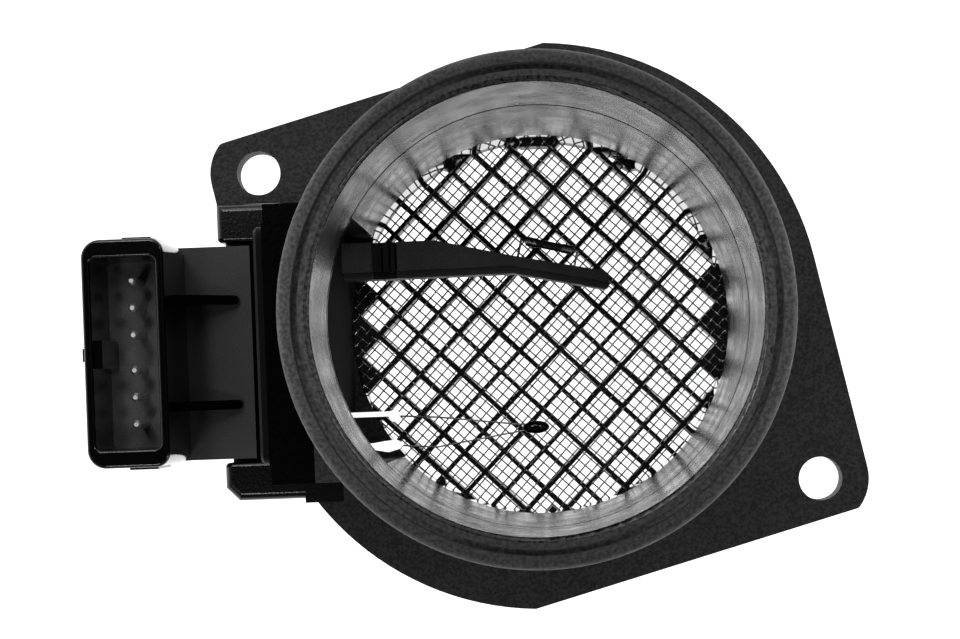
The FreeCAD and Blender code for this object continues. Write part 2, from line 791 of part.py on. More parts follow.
def make_wire_screen():
    """Wire cloth as two crossed layers of wires in a flat rim."""
    wire = value_of("cloth_wire")
    pitch = value_of("cloth_pitch")
    outer = float(grid_radius)
    inner = outer - value_of("cloth_rim")
    angle = value_of("cloth_angle")
    bottom = float(grid_top)
    rim = Part.makeCylinder(outer, 2 * wire, FreeCAD.Vector(0, 0, bottom))
    rim = rim.cut(Part.makeCylinder(inner, 2 * wire, FreeCAD.Vector(0, 0, bottom)))
    middle = (inner + outer) / 2
    count = int(middle / pitch)
    wires = []
    for layer in (0, 1):
        for i in range(-count, count + 1):
            offset = i * pitch
            half = math.sqrt(middle ** 2 - offset ** 2) - wire
            corner = FreeCAD.Vector(-half, offset - wire / 2, bottom + layer * wire)
            strand = Part.makeBox(2 * half, wire, wire, corner)
            turn = angle + 90 * layer
            strand.rotate(FreeCAD.Vector(0, 0, 0), FreeCAD.Vector(0, 0, 1), turn)
            wires.append(strand)
    return own_shape("wire_screen", rim.fuse(wires).removeSplitter())


def make_screen_ring():
    """Ring pressed into the rebate under the lattice."""
    body = new_body("screen_ring")
    top = grid_bottom
    bottom = top - ring_height
    sketch = sketch_in(body, "XZ_Plane", "ring_sketch")
    outline(sketch, [
        (ring_inner_radius, bottom),
        (rebate_radius - ring_bevel, bottom),
        (rebate_radius, bottom + ring_bevel),
        (rebate_radius, top),
        (ring_inner_radius, top),
    ])
    revolve(body, "Revolution", sketch, "ring")
    return body


def make_inlet_seal():
    """Round-section rubber ring in the collar groove."""
    seal = doc.addObject("Part::Torus", "inlet_seal")
    seal.Label = "inlet_seal"
    bind(seal, "Radius1", seal_groove_radius + seal_section / 2)
    bind(seal, "Radius2", seal_section / 2)
    bind(seal, "Placement.Base.z", -seal_groove_offset - seal_section / 2)
    return seal


def make_housing_blank():
    """Module housing before the moulded-in metal is taken out of it."""
    body = new_body("housing_blank")
    shroud_sketch = sketch_in(body, "XY_Plane", "shroud_sketch", seat_floor)
    rectangle(shroud_sketch, shroud_left, shroud_right,
              module_axis - shroud_half_width, module_axis + shroud_half_width)
    shroud = extrude(body, "Pad", shroud_sketch, shroud_height - seat_floor, "shroud")

    def is_outer_corner(edge):
        return is_upright(edge) and near(edge.BoundBox.XMin, shroud_left)

    def is_inner_corner(edge):
        return is_upright(edge) and near(edge.BoundBox.XMin, shroud_right)

    outer = dress(body, "Fillet", "outer_corners", shroud, is_outer_corner, shroud_round)
    dress(body, "Fillet", "inner_corners", outer, is_inner_corner, shroud_inner_round)
    block(body, "Additive", "slab",
          (plate_start, module_axis - slab_half_width, seat_floor),
          (slab_end, module_axis + slab_half_width, slab_top))
    block(body, "Additive", "plate",
          (plate_start, module_axis - slab_half_width, seat_floor),
          (plate_end, module_axis + slab_half_width, plate_height))

    def is_brace_end(middle):
        def test(edge):
            box = edge.BoundBox
            beside = abs(box.YMin - float(middle)) < float(brace_width)
            return is_upright(edge) and near(box.XMin, brace_end) and beside
        return test

    # braces between shroud and plate
    for side, name in ((1, "upper"), (-1, "lower")):
        brace_middle = module_axis + brace_offset * side
        brace_sketch = sketch_in(body, "XZ_Plane", name + "_brace_sketch",
                                 -brace_middle - brace_width / 2)
        outline(brace_sketch, [
            (shroud_right - overlap, plate_height - overlap),
            (brace_end, plate_height - overlap),
            (brace_end, plate_height + brace_foot),
            (shroud_right - overlap, plate_height + brace_height),
        ])
        brace = extrude(body, "Pad", brace_sketch, brace_width, name + "_brace")
        dress(body, "Fillet", name + "_brace_end", brace, is_brace_end(brace_middle),
              brace_round)

    # plug that closes the window in the duct
    block(body, "Additive", "plug",
          (plug_back, module_axis - plug_half_width, plug_bottom),
          (plug_face, module_axis + plug_half_width, plug_top))
    block(body, "Additive", "plug_foot",
          (plug_back, module_axis - plug_half_width, seat_floor),
          (slab_end, module_axis + plug_half_width, plug_bottom + overlap))

    # latch ramp and end ribs outside the shroud
    block(body, "Additive", "latch",
          (shroud_left - latch_height, module_axis - latch_width / 2,
           shroud_height - latch_drop - latch_length),
          (shroud_left + overlap, module_axis + latch_width / 2, shroud_height - latch_drop))
    rib_middle = (shroud_left + shroud_right) / 2 + end_rib_shift
    block(body, "Additive", "end_ribs",
          (rib_middle - end_rib_width / 2, module_axis - shroud_half_width - end_rib_height,
           socket_floor),
          (rib_middle + end_rib_width / 2, module_axis + shroud_half_width + end_rib_height,
           shroud_height - latch_drop))

    # socket, open to the outlet side, then the key rib on its outer wall
    socket_sketch = sketch_in(body, "XY_Plane", "socket_sketch", shroud_height)
    rectangle(socket_sketch, shroud_left + socket_wall, shroud_right - socket_wall,
              module_axis - socket_half_width, module_axis + socket_half_width)
    socket = extrude(body, "Pocket", socket_sketch, socket_depth, "socket")

    def is_socket_corner(edge):
        box = edge.BoundBox
        outer_side = near(box.XMin, shroud_left + socket_wall)
        inner_side = near(box.XMin, shroud_right - socket_wall)
        return is_upright(edge) and (outer_side or inner_side) and near(box.ZMax, shroud_height)

    def is_shroud_rim(edge):
        box = edge.BoundBox
        return near(box.ZMin, shroud_height) and near(box.ZMax, shroud_height)

    corners = dress(body, "Fillet", "socket_corners", socket, is_socket_corner, socket_round)
    dress(body, "Fillet", "shroud_rim", corners, is_shroud_rim, shroud_edge_round)
    block(body, "Additive", "key",
          (shroud_left + socket_wall / 2, module_axis - key_width / 2, socket_floor - overlap),
          (shroud_left + socket_wall + key_height, module_axis + key_width / 2,
           shroud_height - key_drop))

    # hollow from below that keeps the walls round the contact row even
    block(body, "Subtractive", "outer_core",
          (shroud_left + socket_wall, module_axis - socket_half_width, seat_floor - overrun),
          (contact_x - core_web / 2, module_axis + socket_half_width, core_top))

    # electronics room, open to the back, and the seat for the seal
    block(body, "Subtractive", "chamber",
          (plug_back - overrun, module_axis - chamber_half_width, chamber_bottom),
          (chamber_front, module_axis + chamber_half_width, chamber_top))
    gasket_sketch = sketch_in(body, "YZ_Plane", "gasket_seat_sketch", gasket_front - gasket_width)
    rectangle(gasket_sketch,
              module_axis - plug_half_width - overrun, module_axis + plug_half_width + overrun,
              seat_floor - overrun, plug_top + overrun)
    rectangle(gasket_sketch,
              module_axis - plug_half_width + gasket_depth,
              module_axis + plug_half_width - gasket_depth,
              seat_floor + gasket_depth, plug_top - gasket_depth)
    extrude(body, "Pocket", gasket_sketch, gasket_width, "gasket_seat", True)
    return body


def make_housing_seal():
    """Square rubber ring between the plug and the sleeve."""
    body = new_body("housing_seal")
    sketch = sketch_in(body, "YZ_Plane", "seal_sketch", gasket_front - gasket_width)
    rectangle(sketch, seat_bottom_y, seat_top_y, seat_floor, sleeve_ceiling)
    rectangle(sketch,
              module_axis - plug_half_width + gasket_depth,
              module_axis + plug_half_width - gasket_depth,
              seat_floor + gasket_depth, plug_top - gasket_depth)
    extrude(body, "Pad", sketch, gasket_width, "ring")
    return body


def make_housing_cover():
    """Lid over the electronics room."""
    body = new_body("housing_cover")
    back = plug_back - lid_thickness
    half = plug_half_width - lid_margin
    sketch = sketch_in(body, "YZ_Plane", "lid_sketch", back)
    rectangle(sketch, module_axis - half, module_axis + half, slab_top, plug_top - lid_margin)
    lid = extrude(body, "Pad", sketch, lid_thickness, "lid")

    def is_lid_corner(edge):
        box = edge.BoundBox
        return box.YLength < 0.01 and near(box.ZMin, plug_top - lid_margin)

    rounded = dress(body, "Fillet", "lid_corners", lid, is_lid_corner, lid_round)

    def is_lid_rim(edge):
        box = edge.BoundBox
        on_back = near(box.XMin, back) and near(box.XMax, back)
        return on_back and not near(box.ZMax, slab_top)

    dress(body, "Chamfer", "lid_rim", rounded, is_lid_rim, lid_bevel)
    spigot_half = chamber_half_width - housing_clearance
    block(body, "Additive", "spigot",
          (plug_back - overlap, module_axis - spigot_half, chamber_bottom + housing_clearance),
          (plug_back + lid_thickness / 2, module_axis + spigot_half,
           chamber_top - housing_clearance))
    return body


def contact_y(number):
    """Place of one contact along the connector, counted from the +Y end."""
    half_row = contact_middle_gap / 2 + contact_pitch * 2
    passed = number * contact_pitch
    if number >= contact_count // 2:
        passed = passed + contact_middle_gap - contact_pitch
    return module_axis + contact_row_shift + half_row - passed


def make_contact(number):
    """Round socket pin with the flat strip that runs to the circuit board."""
    body = new_body("contact_pin_%d" % (number + 1))
    y = contact_y(number)
    tip = shroud_height - contact_drop
    pin = rod(body, "Additive", "pin_%d" % number,
              (contact_x, y, strip_bottom), contact_radius, tip - strip_bottom)

    def is_tip(edge):
        return near(edge.BoundBox.ZMin, tip)

    dress(body, "Chamfer", "tip_%d" % number, pin, is_tip, contact_bevel)
    riser_x = board_face - strip_gap
    strip_top = strip_bottom + strip_thickness
    low_y = y - strip_width / 2
    high_y = y + strip_width / 2
    block(body, "Additive", "run_%d" % number,
          (contact_x, low_y, strip_bottom), (riser_x, high_y, strip_top))
    block(body, "Additive", "riser_%d" % number,
          (riser_x - strip_thickness, low_y, strip_bottom), (riser_x, high_y, strip_tab_height))
    block(body, "Additive", "tab_%d" % number,
          (riser_x - strip_thickness, low_y, strip_tab_height - strip_thickness),
          (board_face, high_y, strip_tab_height))
    return body


def make_circuit_board():
    """Board that stands upright in the electronics room."""
    body = new_body("circuit_board")
    half = chamber_half_width
    block(body, "Additive", "board",
          (board_face, module_axis - half, chamber_bottom),
          (board_face + board_thickness, module_axis + half, chamber_top - board_margin))
    return body


def make_board_part(label, y, z, length, height, thickness):
    """Small component on the back face of the board."""
    body = new_body(label)
    part = block(body, "Additive", label + "_case",
                 (board_face - thickness, y, z), (board_face, y + length, z + height))

    def is_outer(edge):
        box = edge.BoundBox
        return near(box.XMin, board_face - thickness) and near(box.XMax, board_face - thickness)

    dress(body, "Chamfer", label + "_bevel", part, is_outer, case_bevel)
    return body


def arm_outline(ledge):
    """Plan of the arm from the plug to its tip, with or without the lower ledge."""
    lower = arm_lower_y + arm_ledge - ledge
    knee_upper = arm_upper_y - arm_knee_drop
    tip_upper = knee_upper - arm_tip_drop
    tip_lower = tip_upper - arm_tip_width + arm_ledge - ledge
    return [
        (plug_face, lower),
        (arm_knee_x, lower + arm_knee_rise),
        (arm_tip_x - arm_tip_round, tip_lower),
        (arm_tip_x - arm_tip_round * 0.3, tip_lower + arm_tip_round * 0.3),
        (arm_tip_x, tip_lower + arm_tip_round),
        (arm_tip_x - arm_tip_round * 0.3, tip_upper - arm_tip_round),
        (arm_tip_x - arm_tip_round * 0.8, tip_upper - arm_tip_round * 0.4),
        (arm_tip_x - arm_tip_round * 2, tip_upper),
        (arm_knee_x, knee_upper),
        (arm_shoulder_x, arm_upper_y),
        (plug_face, arm_upper_y),
    ]


def make_sensor_arm():
    """Lower half of the arm, with a tail that plugs into the housing."""
    body = new_body("sensor_arm")
    sketch = sketch_in(body, "XY_Plane", "arm_sketch", arm_bottom)
    outline(sketch, arm_outline(arm_ledge))
    extrude(body, "Pad", sketch, arm_joint - arm_bottom, "arm")
    block(body, "Additive", "tail",
          (chamber_front, arm_lower_y + arm_ledge, arm_bottom + arm_tail_margin),
          (plug_face + overlap, arm_upper_y - arm_tail_margin, arm_joint))
    block(body, "Additive", "pad",
          (arm_pad_x, arm_lower_y + arm_pad_height, arm_joint - overlap),
          (arm_pad_x + arm_pad_length, arm_lower_y + arm_ledge, arm_joint + arm_pad_height))
    # two channels in the joint face carry the conductors
    for number in (0, 1):
        channel = sketch_in(body, "XY_Plane", "channel_%d_sketch" % number, arm_joint)
        outline(channel, conductor_outline(number))
        extrude(body, "Pocket", channel, conductor_thickness, "channel_%d" % number)
    return body


def conductor_outline(number):
    """Plan of one flat conductor; both run to the arm's knee, the first one on to its tip."""
    cover_lower = arm_lower_y + arm_ledge
    knee_middle = (cover_lower + arm_knee_rise + arm_upper_y - arm_knee_drop) / 2
    root_y = cover_lower + conductor_inset + conductor_spacing * number
    knee_y = knee_middle + conductor_spacing * (number - 0.5)
    run = [(board_face + board_thickness, root_y), (arm_shoulder_x, root_y), (arm_knee_x, knee_y)]
    if number == 0:
        fall = arm_tip_drop * conductor_run / arm_tip_run
        run.append((arm_knee_x + conductor_run, knee_y - fall))
    half = conductor_width / 2
    lower_edge = [(x, y - half) for x, y in run]
    upper_edge = [(x, y + half) for x, y in reversed(run)]
    return lower_edge + upper_edge


def make_conductor(number):
    """Flat metal strip from the circuit board to one lead of the heated element."""
    body = new_body("arm_conductor_%d" % (number + 1))
    sketch = sketch_in(body, "XY_Plane", "strip_%d_sketch" % number,
                       arm_joint - conductor_thickness)
    outline(sketch, conductor_outline(number))
    extrude(body, "Pad", sketch, conductor_thickness, "strip_%d" % number)
    return body


def make_arm_cover():
    """Upper half of the arm, with a grooved band near its root."""
    body = new_body("arm_cover")
    sketch = sketch_in(body, "XY_Plane", "cover_sketch", arm_joint)
    outline(sketch, arm_outline(0))
    extrude(body, "Pad", sketch, arm_top - arm_joint, "cover")
    low = arm_band_x - arm_band_width / 2
    high = arm_band_x + arm_band_width / 2
    band_floor = arm_top - arm_band_depth
    ridge_top = band_floor + arm_band_depth * 0.75
    ridge_foot = arm_band_width * 0.2
    ridge_half = arm_band_width * 0.12
    band_sketch = sketch_in(body, "XZ_Plane", "band_sketch", -arm_upper_y - overrun)
    outline(band_sketch, [
        (low, band_floor),
        (arm_band_x - ridge_foot, band_floor),
        (arm_band_x - ridge_half, ridge_top),
        (arm_band_x + ridge_half, ridge_top),
        (arm_band_x + ridge_foot, band_floor),
        (high, band_floor),
        (high, arm_top + overrun),
        (low, arm_top + overrun),
    ])
    band_run = arm_upper_y - arm_lower_y + 2 * overrun
    extrude(body, "Pocket", band_sketch, band_run, "band", True)
    return body


def turn_about_element(body):
    """Set a piece modelled along X at the place and slant of the heated element."""
    bind(body, "Placement.Base.x", element_x)
    bind(body, "Placement.Base.y", element_y)
    bind(body, "Placement.Base.z", element_height)
    body.Placement.Rotation = FreeCAD.Rotation(FreeCAD.Vector(0, 0, 1), float(element_turn))
    bind(body, "Placement.Rotation.Angle", element_turn)


def make_round_along_x(label, start, radius, length):
    """Round bar along X beside the element's middle."""
    body = new_body(label)
    sketch = sketch_in(body, "YZ_Plane", label + "_sketch", start)
    circle(sketch, CENTRE, radius)
    extrude(body, "Pad", sketch, length, label + "_bar")
    turn_about_element(body)
    return body


def make_element_lead(number):
    """Bent wire from an end cap back into the side of the arm."""
    side = 1 if number == 1 else -1
    label = "element_lead_%d" % (number + 1)
    body = new_body(label)
    start = (element_length / 2 + cap_length) * side
    path = sketch_in(body, "XY_Plane", label + "_path")
    open_path(path, [
        (start, ZERO),
        (start + element_lead_reach * side, ZERO),
        (start + element_lead_reach * side, -element_lead_drop),
    ])
    section = sketch_in(body, "YZ_Plane", label + "_section", start)
    circle(section, CENTRE, element_lead_radius)
    wire = body.newObject("PartDesign::AdditivePipe", label + "_wire")
    wire.Profile = section
    wire.Spine = (path, ["Edge1", "Edge2"])
    wire.Transition = 1
    turn_about_element(body)
    return body


def make_bead():
    """Epoxy bead round the thermistor."""
    bead = doc.addObject("Part::Ellipsoid", "air_temperature_bead")
    bead.Label = "air_temperature_bead"
    bind(bead, "Radius1", bead_radius)
    bind(bead, "Radius2", bead_length / 2)
    bind(bead, "Radius3", bead_radius)
    for axis, number in zip("xyz", (bead_x, bead_y, bead_height)):
        bind(bead, "Placement.Base." + axis, number)
    return bead


def make_bead_lead(number, points):
    """Fine wire from a post to the bead."""
    label = "bead_lead_%d" % (number + 1)
    body = new_body(label)
    path = sketch_in(body, "XY_Plane", label + "_path", bead_height)
    open_path(path, points)
    section = sketch_in(body, "YZ_Plane", label + "_section", points[0][0])
    circle(section, (points[0][1], bead_height), bead_lead_radius)
    wire = body.newObject("PartDesign::AdditivePipe", label + "_wire")
    wire.Profile = section
    wire.Spine = (path, ["Edge%d" % (i + 1) for i in range(len(points) - 1)])
    wire.Transition = 0
    return body


def bead_lead_paths():
    """Plans of the two wires that carry the bead."""
    bead_side = bead_x - bead_length / 2 + bead_lead_sink
    upper_start = upper_post_y - upper_post_sag
    reach = bead_side - upper_post_end
    upper = [
        (upper_post_end, upper_start),
        (upper_post_end + reach / 3, upper_start - bead_lead_bow),
        (bead_side, bead_y + bead_lead_spacing / 2),
    ]
    lower = [
        (lower_post_end - overlap, lower_post_y),
        (lower_post_end + reach / 4, lower_post_y - bead_lead_bow),
        (bead_side, bead_y - bead_lead_spacing / 2),
    ]
    return upper, lower


def make_upper_post():
    """Round post that ends in a solder ball."""
    body = new_body("lead_post_1")
    start = chamber_front
    sketch = sketch_in(body, "YZ_Plane", "post_1_sketch", start)
    circle(sketch, (upper_post_y, bead_height), upper_post_radius)
    extrude(body, "Pad", sketch, upper_post_end - start, "post_1")
    ball = body.newObject("PartDesign::AdditiveSphere", "post_1_ball")
    bind(ball, "Radius", upper_post_ball)
    for axis, number in zip("xyz", (upper_post_end, upper_post_y - upper_post_sag, bead_height)):
        bind(ball, "Placement.Base." + axis, number)
    return body


def make_lower_post():
    """Round post flattened to a leaf at its end."""
    body = new_body("lead_post_2")
    start = chamber_front
    leaf_start = lower_post_end - leaf_length
    sketch = sketch_in(body, "YZ_Plane", "post_2_sketch", start)
    circle(sketch, (lower_post_y, bead_height), lower_post_radius)
    extrude(body, "Pad", sketch, leaf_start - start + overrun, "post_2")
    leaf = sketch_in(body, "XY_Plane", "leaf_sketch", bead_height - lower_post_radius / 2)
    outline(leaf, [
        (leaf_start, lower_post_y - lower_post_radius),
        (leaf_start + leaf_length * 0.5, lower_post_y - leaf_half_width),
        (leaf_start + leaf_length * 0.85, lower_post_y - leaf_half_width * 0.5),
        (lower_post_end, lower_post_y + leaf_half_width * 0.3),
        (leaf_start + leaf_length * 0.75, lower_post_y + leaf_half_width),
        (leaf_start + leaf_length * 0.4, lower_post_y + leaf_half_width * 0.8),
        (leaf_start, lower_post_y + lower_post_radius),
    ])
    extrude(body, "Pad", leaf, lower_post_radius, "leaf")
    return body


def cut_moulded_in(blank, inserts):
    """Take the moulded-in pieces out of the housing so that each fills its own room."""
    together = doc.addObject("Part::MultiFuse", "moulded_in_pieces")
    together.Shapes = inserts
    housing = doc.addObject("Part::Cut", "sensor_housing")
    housing.Base = blank
    housing.Tool = together
    housing.Label = "sensor_housing"
    return housing


duct_body = make_duct_body()
cut_lip_notches(duct_body)
contacts = [make_contact(number) for number in range(contact_count)]
arm = make_sensor_arm()
conductors = [make_conductor(number) for number in (0, 1)]
posts = [make_upper_post(), make_lower_post()]
housing = cut_moulded_in(make_housing_blank(), contacts + [arm] + conductors + posts)
upper_path, lower_path = bead_lead_paths()
cap_start = element_length / 2

sub_parts = [
    duct_body,
    make_flow_grid(),
    make_wire_screen(),
    make_screen_ring(),
    make_inlet_seal(),
    housing,
    make_housing_seal(),
    make_housing_cover(),
    make_circuit_board(),
    make_board_part("signal_chip", module_axis + chip_shift, chip_height,
                    chip_side, chip_side, chip_thickness),
    make_board_part("filter_capacitor_1", module_axis + capacitor_shift, chip_height,
                    capacitor_length, capacitor_width, capacitor_width),
    make_board_part("filter_capacitor_2", module_axis + capacitor_shift,
                    chip_height + capacitor_spacing,
                    capacitor_length, capacitor_width, capacitor_width),
    arm,
    make_arm_cover(),
    make_round_along_x("heated_element", -cap_start, element_radius, element_length),
    make_round_along_x("element_cap_1", -cap_start - cap_length, cap_radius, cap_length),
    make_round_along_x("element_cap_2", cap_start, cap_radius, cap_length),
    make_element_lead(0),
    make_element_lead(1),
    make_bead(),
    make_bead_lead(0, upper_path),
    make_bead_lead(1, lower_path),
] + contacts + conductors + posts

doc.recompute()

for item in doc.Objects:
    if "Invalid" in item.State or "Error" in item.State:
        raise RuntimeError("not computed: " + item.Name)
for item in sub_parts:
    if item.Shape.isNull() or not item.Shape.isValid():
        raise RuntimeError("bad shape: " + item.Label)
for item in sub_parts:
    item.Shape.exportStep("parts/%s.step" % item.Label)
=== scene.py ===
import json
import logging
import math
from collections.abc import Mapping, Sequence
from dataclasses import dataclass
from enum import Enum

import bmesh
import bpy
from mathutils import Matrix, Vector


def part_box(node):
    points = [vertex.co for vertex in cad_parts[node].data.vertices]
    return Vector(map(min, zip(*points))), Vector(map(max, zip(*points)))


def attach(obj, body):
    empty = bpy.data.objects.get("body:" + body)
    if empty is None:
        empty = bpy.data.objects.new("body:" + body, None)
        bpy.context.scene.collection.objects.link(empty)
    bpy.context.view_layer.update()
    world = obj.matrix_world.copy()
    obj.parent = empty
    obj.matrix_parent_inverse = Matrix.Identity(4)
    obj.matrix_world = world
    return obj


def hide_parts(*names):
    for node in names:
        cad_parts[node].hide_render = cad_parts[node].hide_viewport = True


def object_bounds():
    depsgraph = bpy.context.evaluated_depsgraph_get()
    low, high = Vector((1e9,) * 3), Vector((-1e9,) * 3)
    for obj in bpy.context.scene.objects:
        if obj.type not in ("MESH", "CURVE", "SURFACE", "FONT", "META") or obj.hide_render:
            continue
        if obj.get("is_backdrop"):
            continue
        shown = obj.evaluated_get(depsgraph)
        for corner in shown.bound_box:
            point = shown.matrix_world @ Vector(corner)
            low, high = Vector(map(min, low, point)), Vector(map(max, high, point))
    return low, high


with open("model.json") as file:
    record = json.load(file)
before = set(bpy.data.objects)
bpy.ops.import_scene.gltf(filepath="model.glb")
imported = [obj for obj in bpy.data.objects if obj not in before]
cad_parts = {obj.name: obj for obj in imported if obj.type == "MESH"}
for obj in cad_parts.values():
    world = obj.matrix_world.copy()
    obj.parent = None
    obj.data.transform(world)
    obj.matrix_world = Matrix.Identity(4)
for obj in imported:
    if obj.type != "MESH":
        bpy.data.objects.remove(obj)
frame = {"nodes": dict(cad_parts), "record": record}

# Looks of the mass airflow sensor: the finish of every piece, the moulded lattice and the
# woven wire cloth across the inlet, the light table that the sensor lies on and the camera
# that looks down its bore.

log = logging.getLogger("airflow_sensor")

MM = 0.001
BODY = "root"
NOISE_SPAN = (0.3, 0.7)
TONE_SPAN = (0.4, 0.6)

Source = bpy.types.Node | bpy.types.NodeSocket
Span = tuple[float, float]
Tones = tuple[str, str]

# Near-black tones: the cover's own colour, and painted shade on the duct's seat and on the
# housing's polished faces.
BLACKS: Tones = ("#030303", "#070707")


def linear(colour: str) -> tuple[float, float, float, float]:
    """Turn an sRGB hex colour into linear red, green, blue and alpha.

    Args:
        colour: Six hex digits after a hash sign.

    Returns:
        Linear colour with an alpha of one.
    """
    channels = []
    for start in (1, 3, 5):
        share = int(colour[start:start + 2], 16) / 255
        low = share / 12.92
        high = ((share + 0.055) / 1.055) ** 2.4
        channels.append(low if share <= 0.04045 else high)
    return (channels[0], channels[1], channels[2], 1.0)


def per_metre(size_mm: float) -> float:
    """Texture scale that gives features of a real size in millimetres."""
    return 1.0 / (size_mm * MM)


def metres(*sizes_mm: float) -> tuple[float, ...]:
    """Turn sizes in millimetres into metres."""
    return tuple(size * MM for size in sizes_mm)


def onto(source: Source, before: Sequence[float], after: Sequence[float]) -> dict[str, object]:
    """Settings that map one range of values onto another.

    Args:
        source: What gives the values.
        before: Lowest and highest value taken.
        after: Values given for those two.

    Returns:
        Settings by name.
    """
    names = ("Value", "From Min", "From Max", "To Min", "To Max")
    return dict(zip(names, (source, *before, *after)))


def within(source: Source, span_mm: Span) -> dict[str | int, object]:
    """Settings of a test that gives one within a span and zero outside it.

    Args:
        source: What gives the place, in metres.
        span_mm: Both ends of the span in millimetres.

    Returns:
        Settings by name or number.
    """
    low, high = metres(*span_mm)
    return {"operation": "COMPARE", 0: source, 1: (low + high) / 2, 2: (high - low) / 2}


def ray(degrees: float) -> Vector:
    """Level unit vector at an angle round the bore."""
    angle = math.radians(degrees)
    return Vector((math.cos(angle), math.sin(angle), 0.0))


def put_in_scene(name: str, data: bpy.types.ID) -> bpy.types.Object:
    """Make an object of a mesh, light or camera, at the origin of the frame.

    Args:
        name: Name of the object.
        data: What the object holds.

    Returns:
        The object, linked to the scene.
    """
    placed = bpy.data.objects.new(name, data)
    bpy.context.scene.collection.objects.link(placed)
    return placed


class Nodes:
    """Shader nodes of one tree."""

    def __init__(self, tree: bpy.types.NodeTree) -> None:
        """Take over a tree and empty it."""
        self.tree = tree
        tree.nodes.clear()

    def add(
        self, kind: str, values: Mapping[str | int, object] | None = None
    ) -> bpy.types.Node:
        """Add a node with its settings and links.

        Args:
            kind: Blender's name of the node type.
            values: Properties by name, and numbers, hex colours, nodes or outputs by the
                name or number of the input that takes them. A node gives the first of
                its outputs that is in use.

        Returns:
            The new node.
        """
        node = self.tree.nodes.new(kind)
        for key, value in (values or {}).items():
            if isinstance(value, bpy.types.Node):
                value = next(output for output in value.outputs if output.enabled)
            if isinstance(value, bpy.types.NodeSocket):
                self.tree.links.new(value, node.inputs[key])
            elif isinstance(key, str) and hasattr(node, key):
                setattr(node, key, value)
            else:
                is_colour = isinstance(value, str)
                node.inputs[key].default_value = linear(value) if is_colour else value
        return node


class Canvas(Nodes):
    """Nodes of one material, whose patterns lie in the frame's own coordinates."""

    def __init__(self, name: str) -> None:
        """Start an empty material.

        Args:
            name: Name of the material.
        """
        self.material = bpy.data.materials.new(name)
        self.material.use_nodes = True
        super().__init__(self.material.node_tree)
        self.place = self.add("ShaderNodeTexCoord").outputs["Object"]
        split = self.add("ShaderNodeSeparateXYZ", {"Vector": self.place})
        self.x, self.y, self.z = split.outputs

    def radius(self) -> bpy.types.Node:
        """Distance from the bore's axis."""
        level = self.add("ShaderNodeCombineXYZ", {"X": self.x, "Y": self.y})
        return self.add("ShaderNodeVectorMath", {"operation": "LENGTH", 0: level})

    def upward(self) -> bpy.types.NodeSocket:
        """Upward share of the face's direction."""
        normal = self.add("ShaderNodeNewGeometry").outputs["True Normal"]
        return self.add("ShaderNodeSeparateXYZ", {"Vector": normal}).outputs["Z"]

    def coat(
        self, under: Source, where: Source, grain: Source, tones: Tones
    ) -> bpy.types.Node:
        """Lay a coat of two tones over a colour.

        Args:
            under: Colour that the coat covers.
            where: Share of the coat, by place.
            grain: Share of the light tone, by place.
            tones: Dark and light tone of the coat.

        Returns:
            Node that gives the colour.
        """
        dark, light = tones
        coat = {"data_type": "RGBA", "Factor": grain, "A": dark, "B": light}
        over = self.add("ShaderNodeMix", coat)
        laid = {"data_type": "RGBA", "Factor": where, "A": under, "B": over}
        return self.add("ShaderNodeMix", laid)

    def close(self, surface: bpy.types.Node) -> bpy.types.Material:
        """Feed the material's output and hand the material over."""
        self.add("ShaderNodeOutputMaterial", {"Surface": surface})
        return self.material


@dataclass(frozen=True)
class MouldedPlastic:
    """Plastic, rubber, lacquer or ceramic with a fine even grain.

    On a moulded piece the grain comes from the spark-eroded tool, so the surface sparkles
    a little instead of shining, and the filler makes patches that are slightly smoother.
    """

    name: str
    tones: Tones
    grain_mm: float
    grain_depth_mm: float
    patch_mm: float
    smoothest: float
    roughest: float
    ior: float = 1.53
    grain_detail: float = 3
    patch_detail: float = 4

    def build(self) -> bpy.types.Material:
        """Make the material.

        Returns:
            The material.
        """
        canvas = Canvas(self.name)
        grain, patches = (
            canvas.add(
                "ShaderNodeTexNoise",
                {"Vector": canvas.place, "Scale": per_metre(size_mm), "Detail": detail},
            )
            for size_mm, detail in (
                (self.grain_mm, self.grain_detail),
                (self.patch_mm, self.patch_detail),
            )
        )
        relief = {
            "Strength": 1.0,
            "Distance": self.grain_depth_mm * MM,
            "Height": self.relief(canvas, grain),
        }
        share = canvas.add("ShaderNodeMapRange", onto(grain, TONE_SPAN, (0, 1)))
        surface = {
            "IOR": self.ior,
            "Base Color": self.colour(canvas, share),
            "Roughness": self.roughness(canvas, patches),
            "Normal": canvas.add("ShaderNodeBump", relief),
        }
        return canvas.close(canvas.add("ShaderNodeBsdfPrincipled", surface))

    def colour(self, canvas: Canvas, grain: Source) -> bpy.types.Node:
        """Colour that follows the grain.

        Args:
            canvas: Nodes of the material.
            grain: Share of the light tone, by place.

        Returns:
            Node that gives the colour.
        """
        dark, light = self.tones
        tones = {"data_type": "RGBA", "Factor": grain, "A": dark, "B": light}
        return canvas.add("ShaderNodeMix", tones)

    def roughness(self, canvas: Canvas, patches: Source) -> bpy.types.Node:
        """Roughness that wanders with the patches."""
        ends = (self.smoothest, self.roughest)
        return canvas.add("ShaderNodeMapRange", onto(patches, NOISE_SPAN, ends))

    def relief(self, canvas: Canvas, grain: Source) -> Source:
        """Height of the surface's grain, the same everywhere."""
        return grain


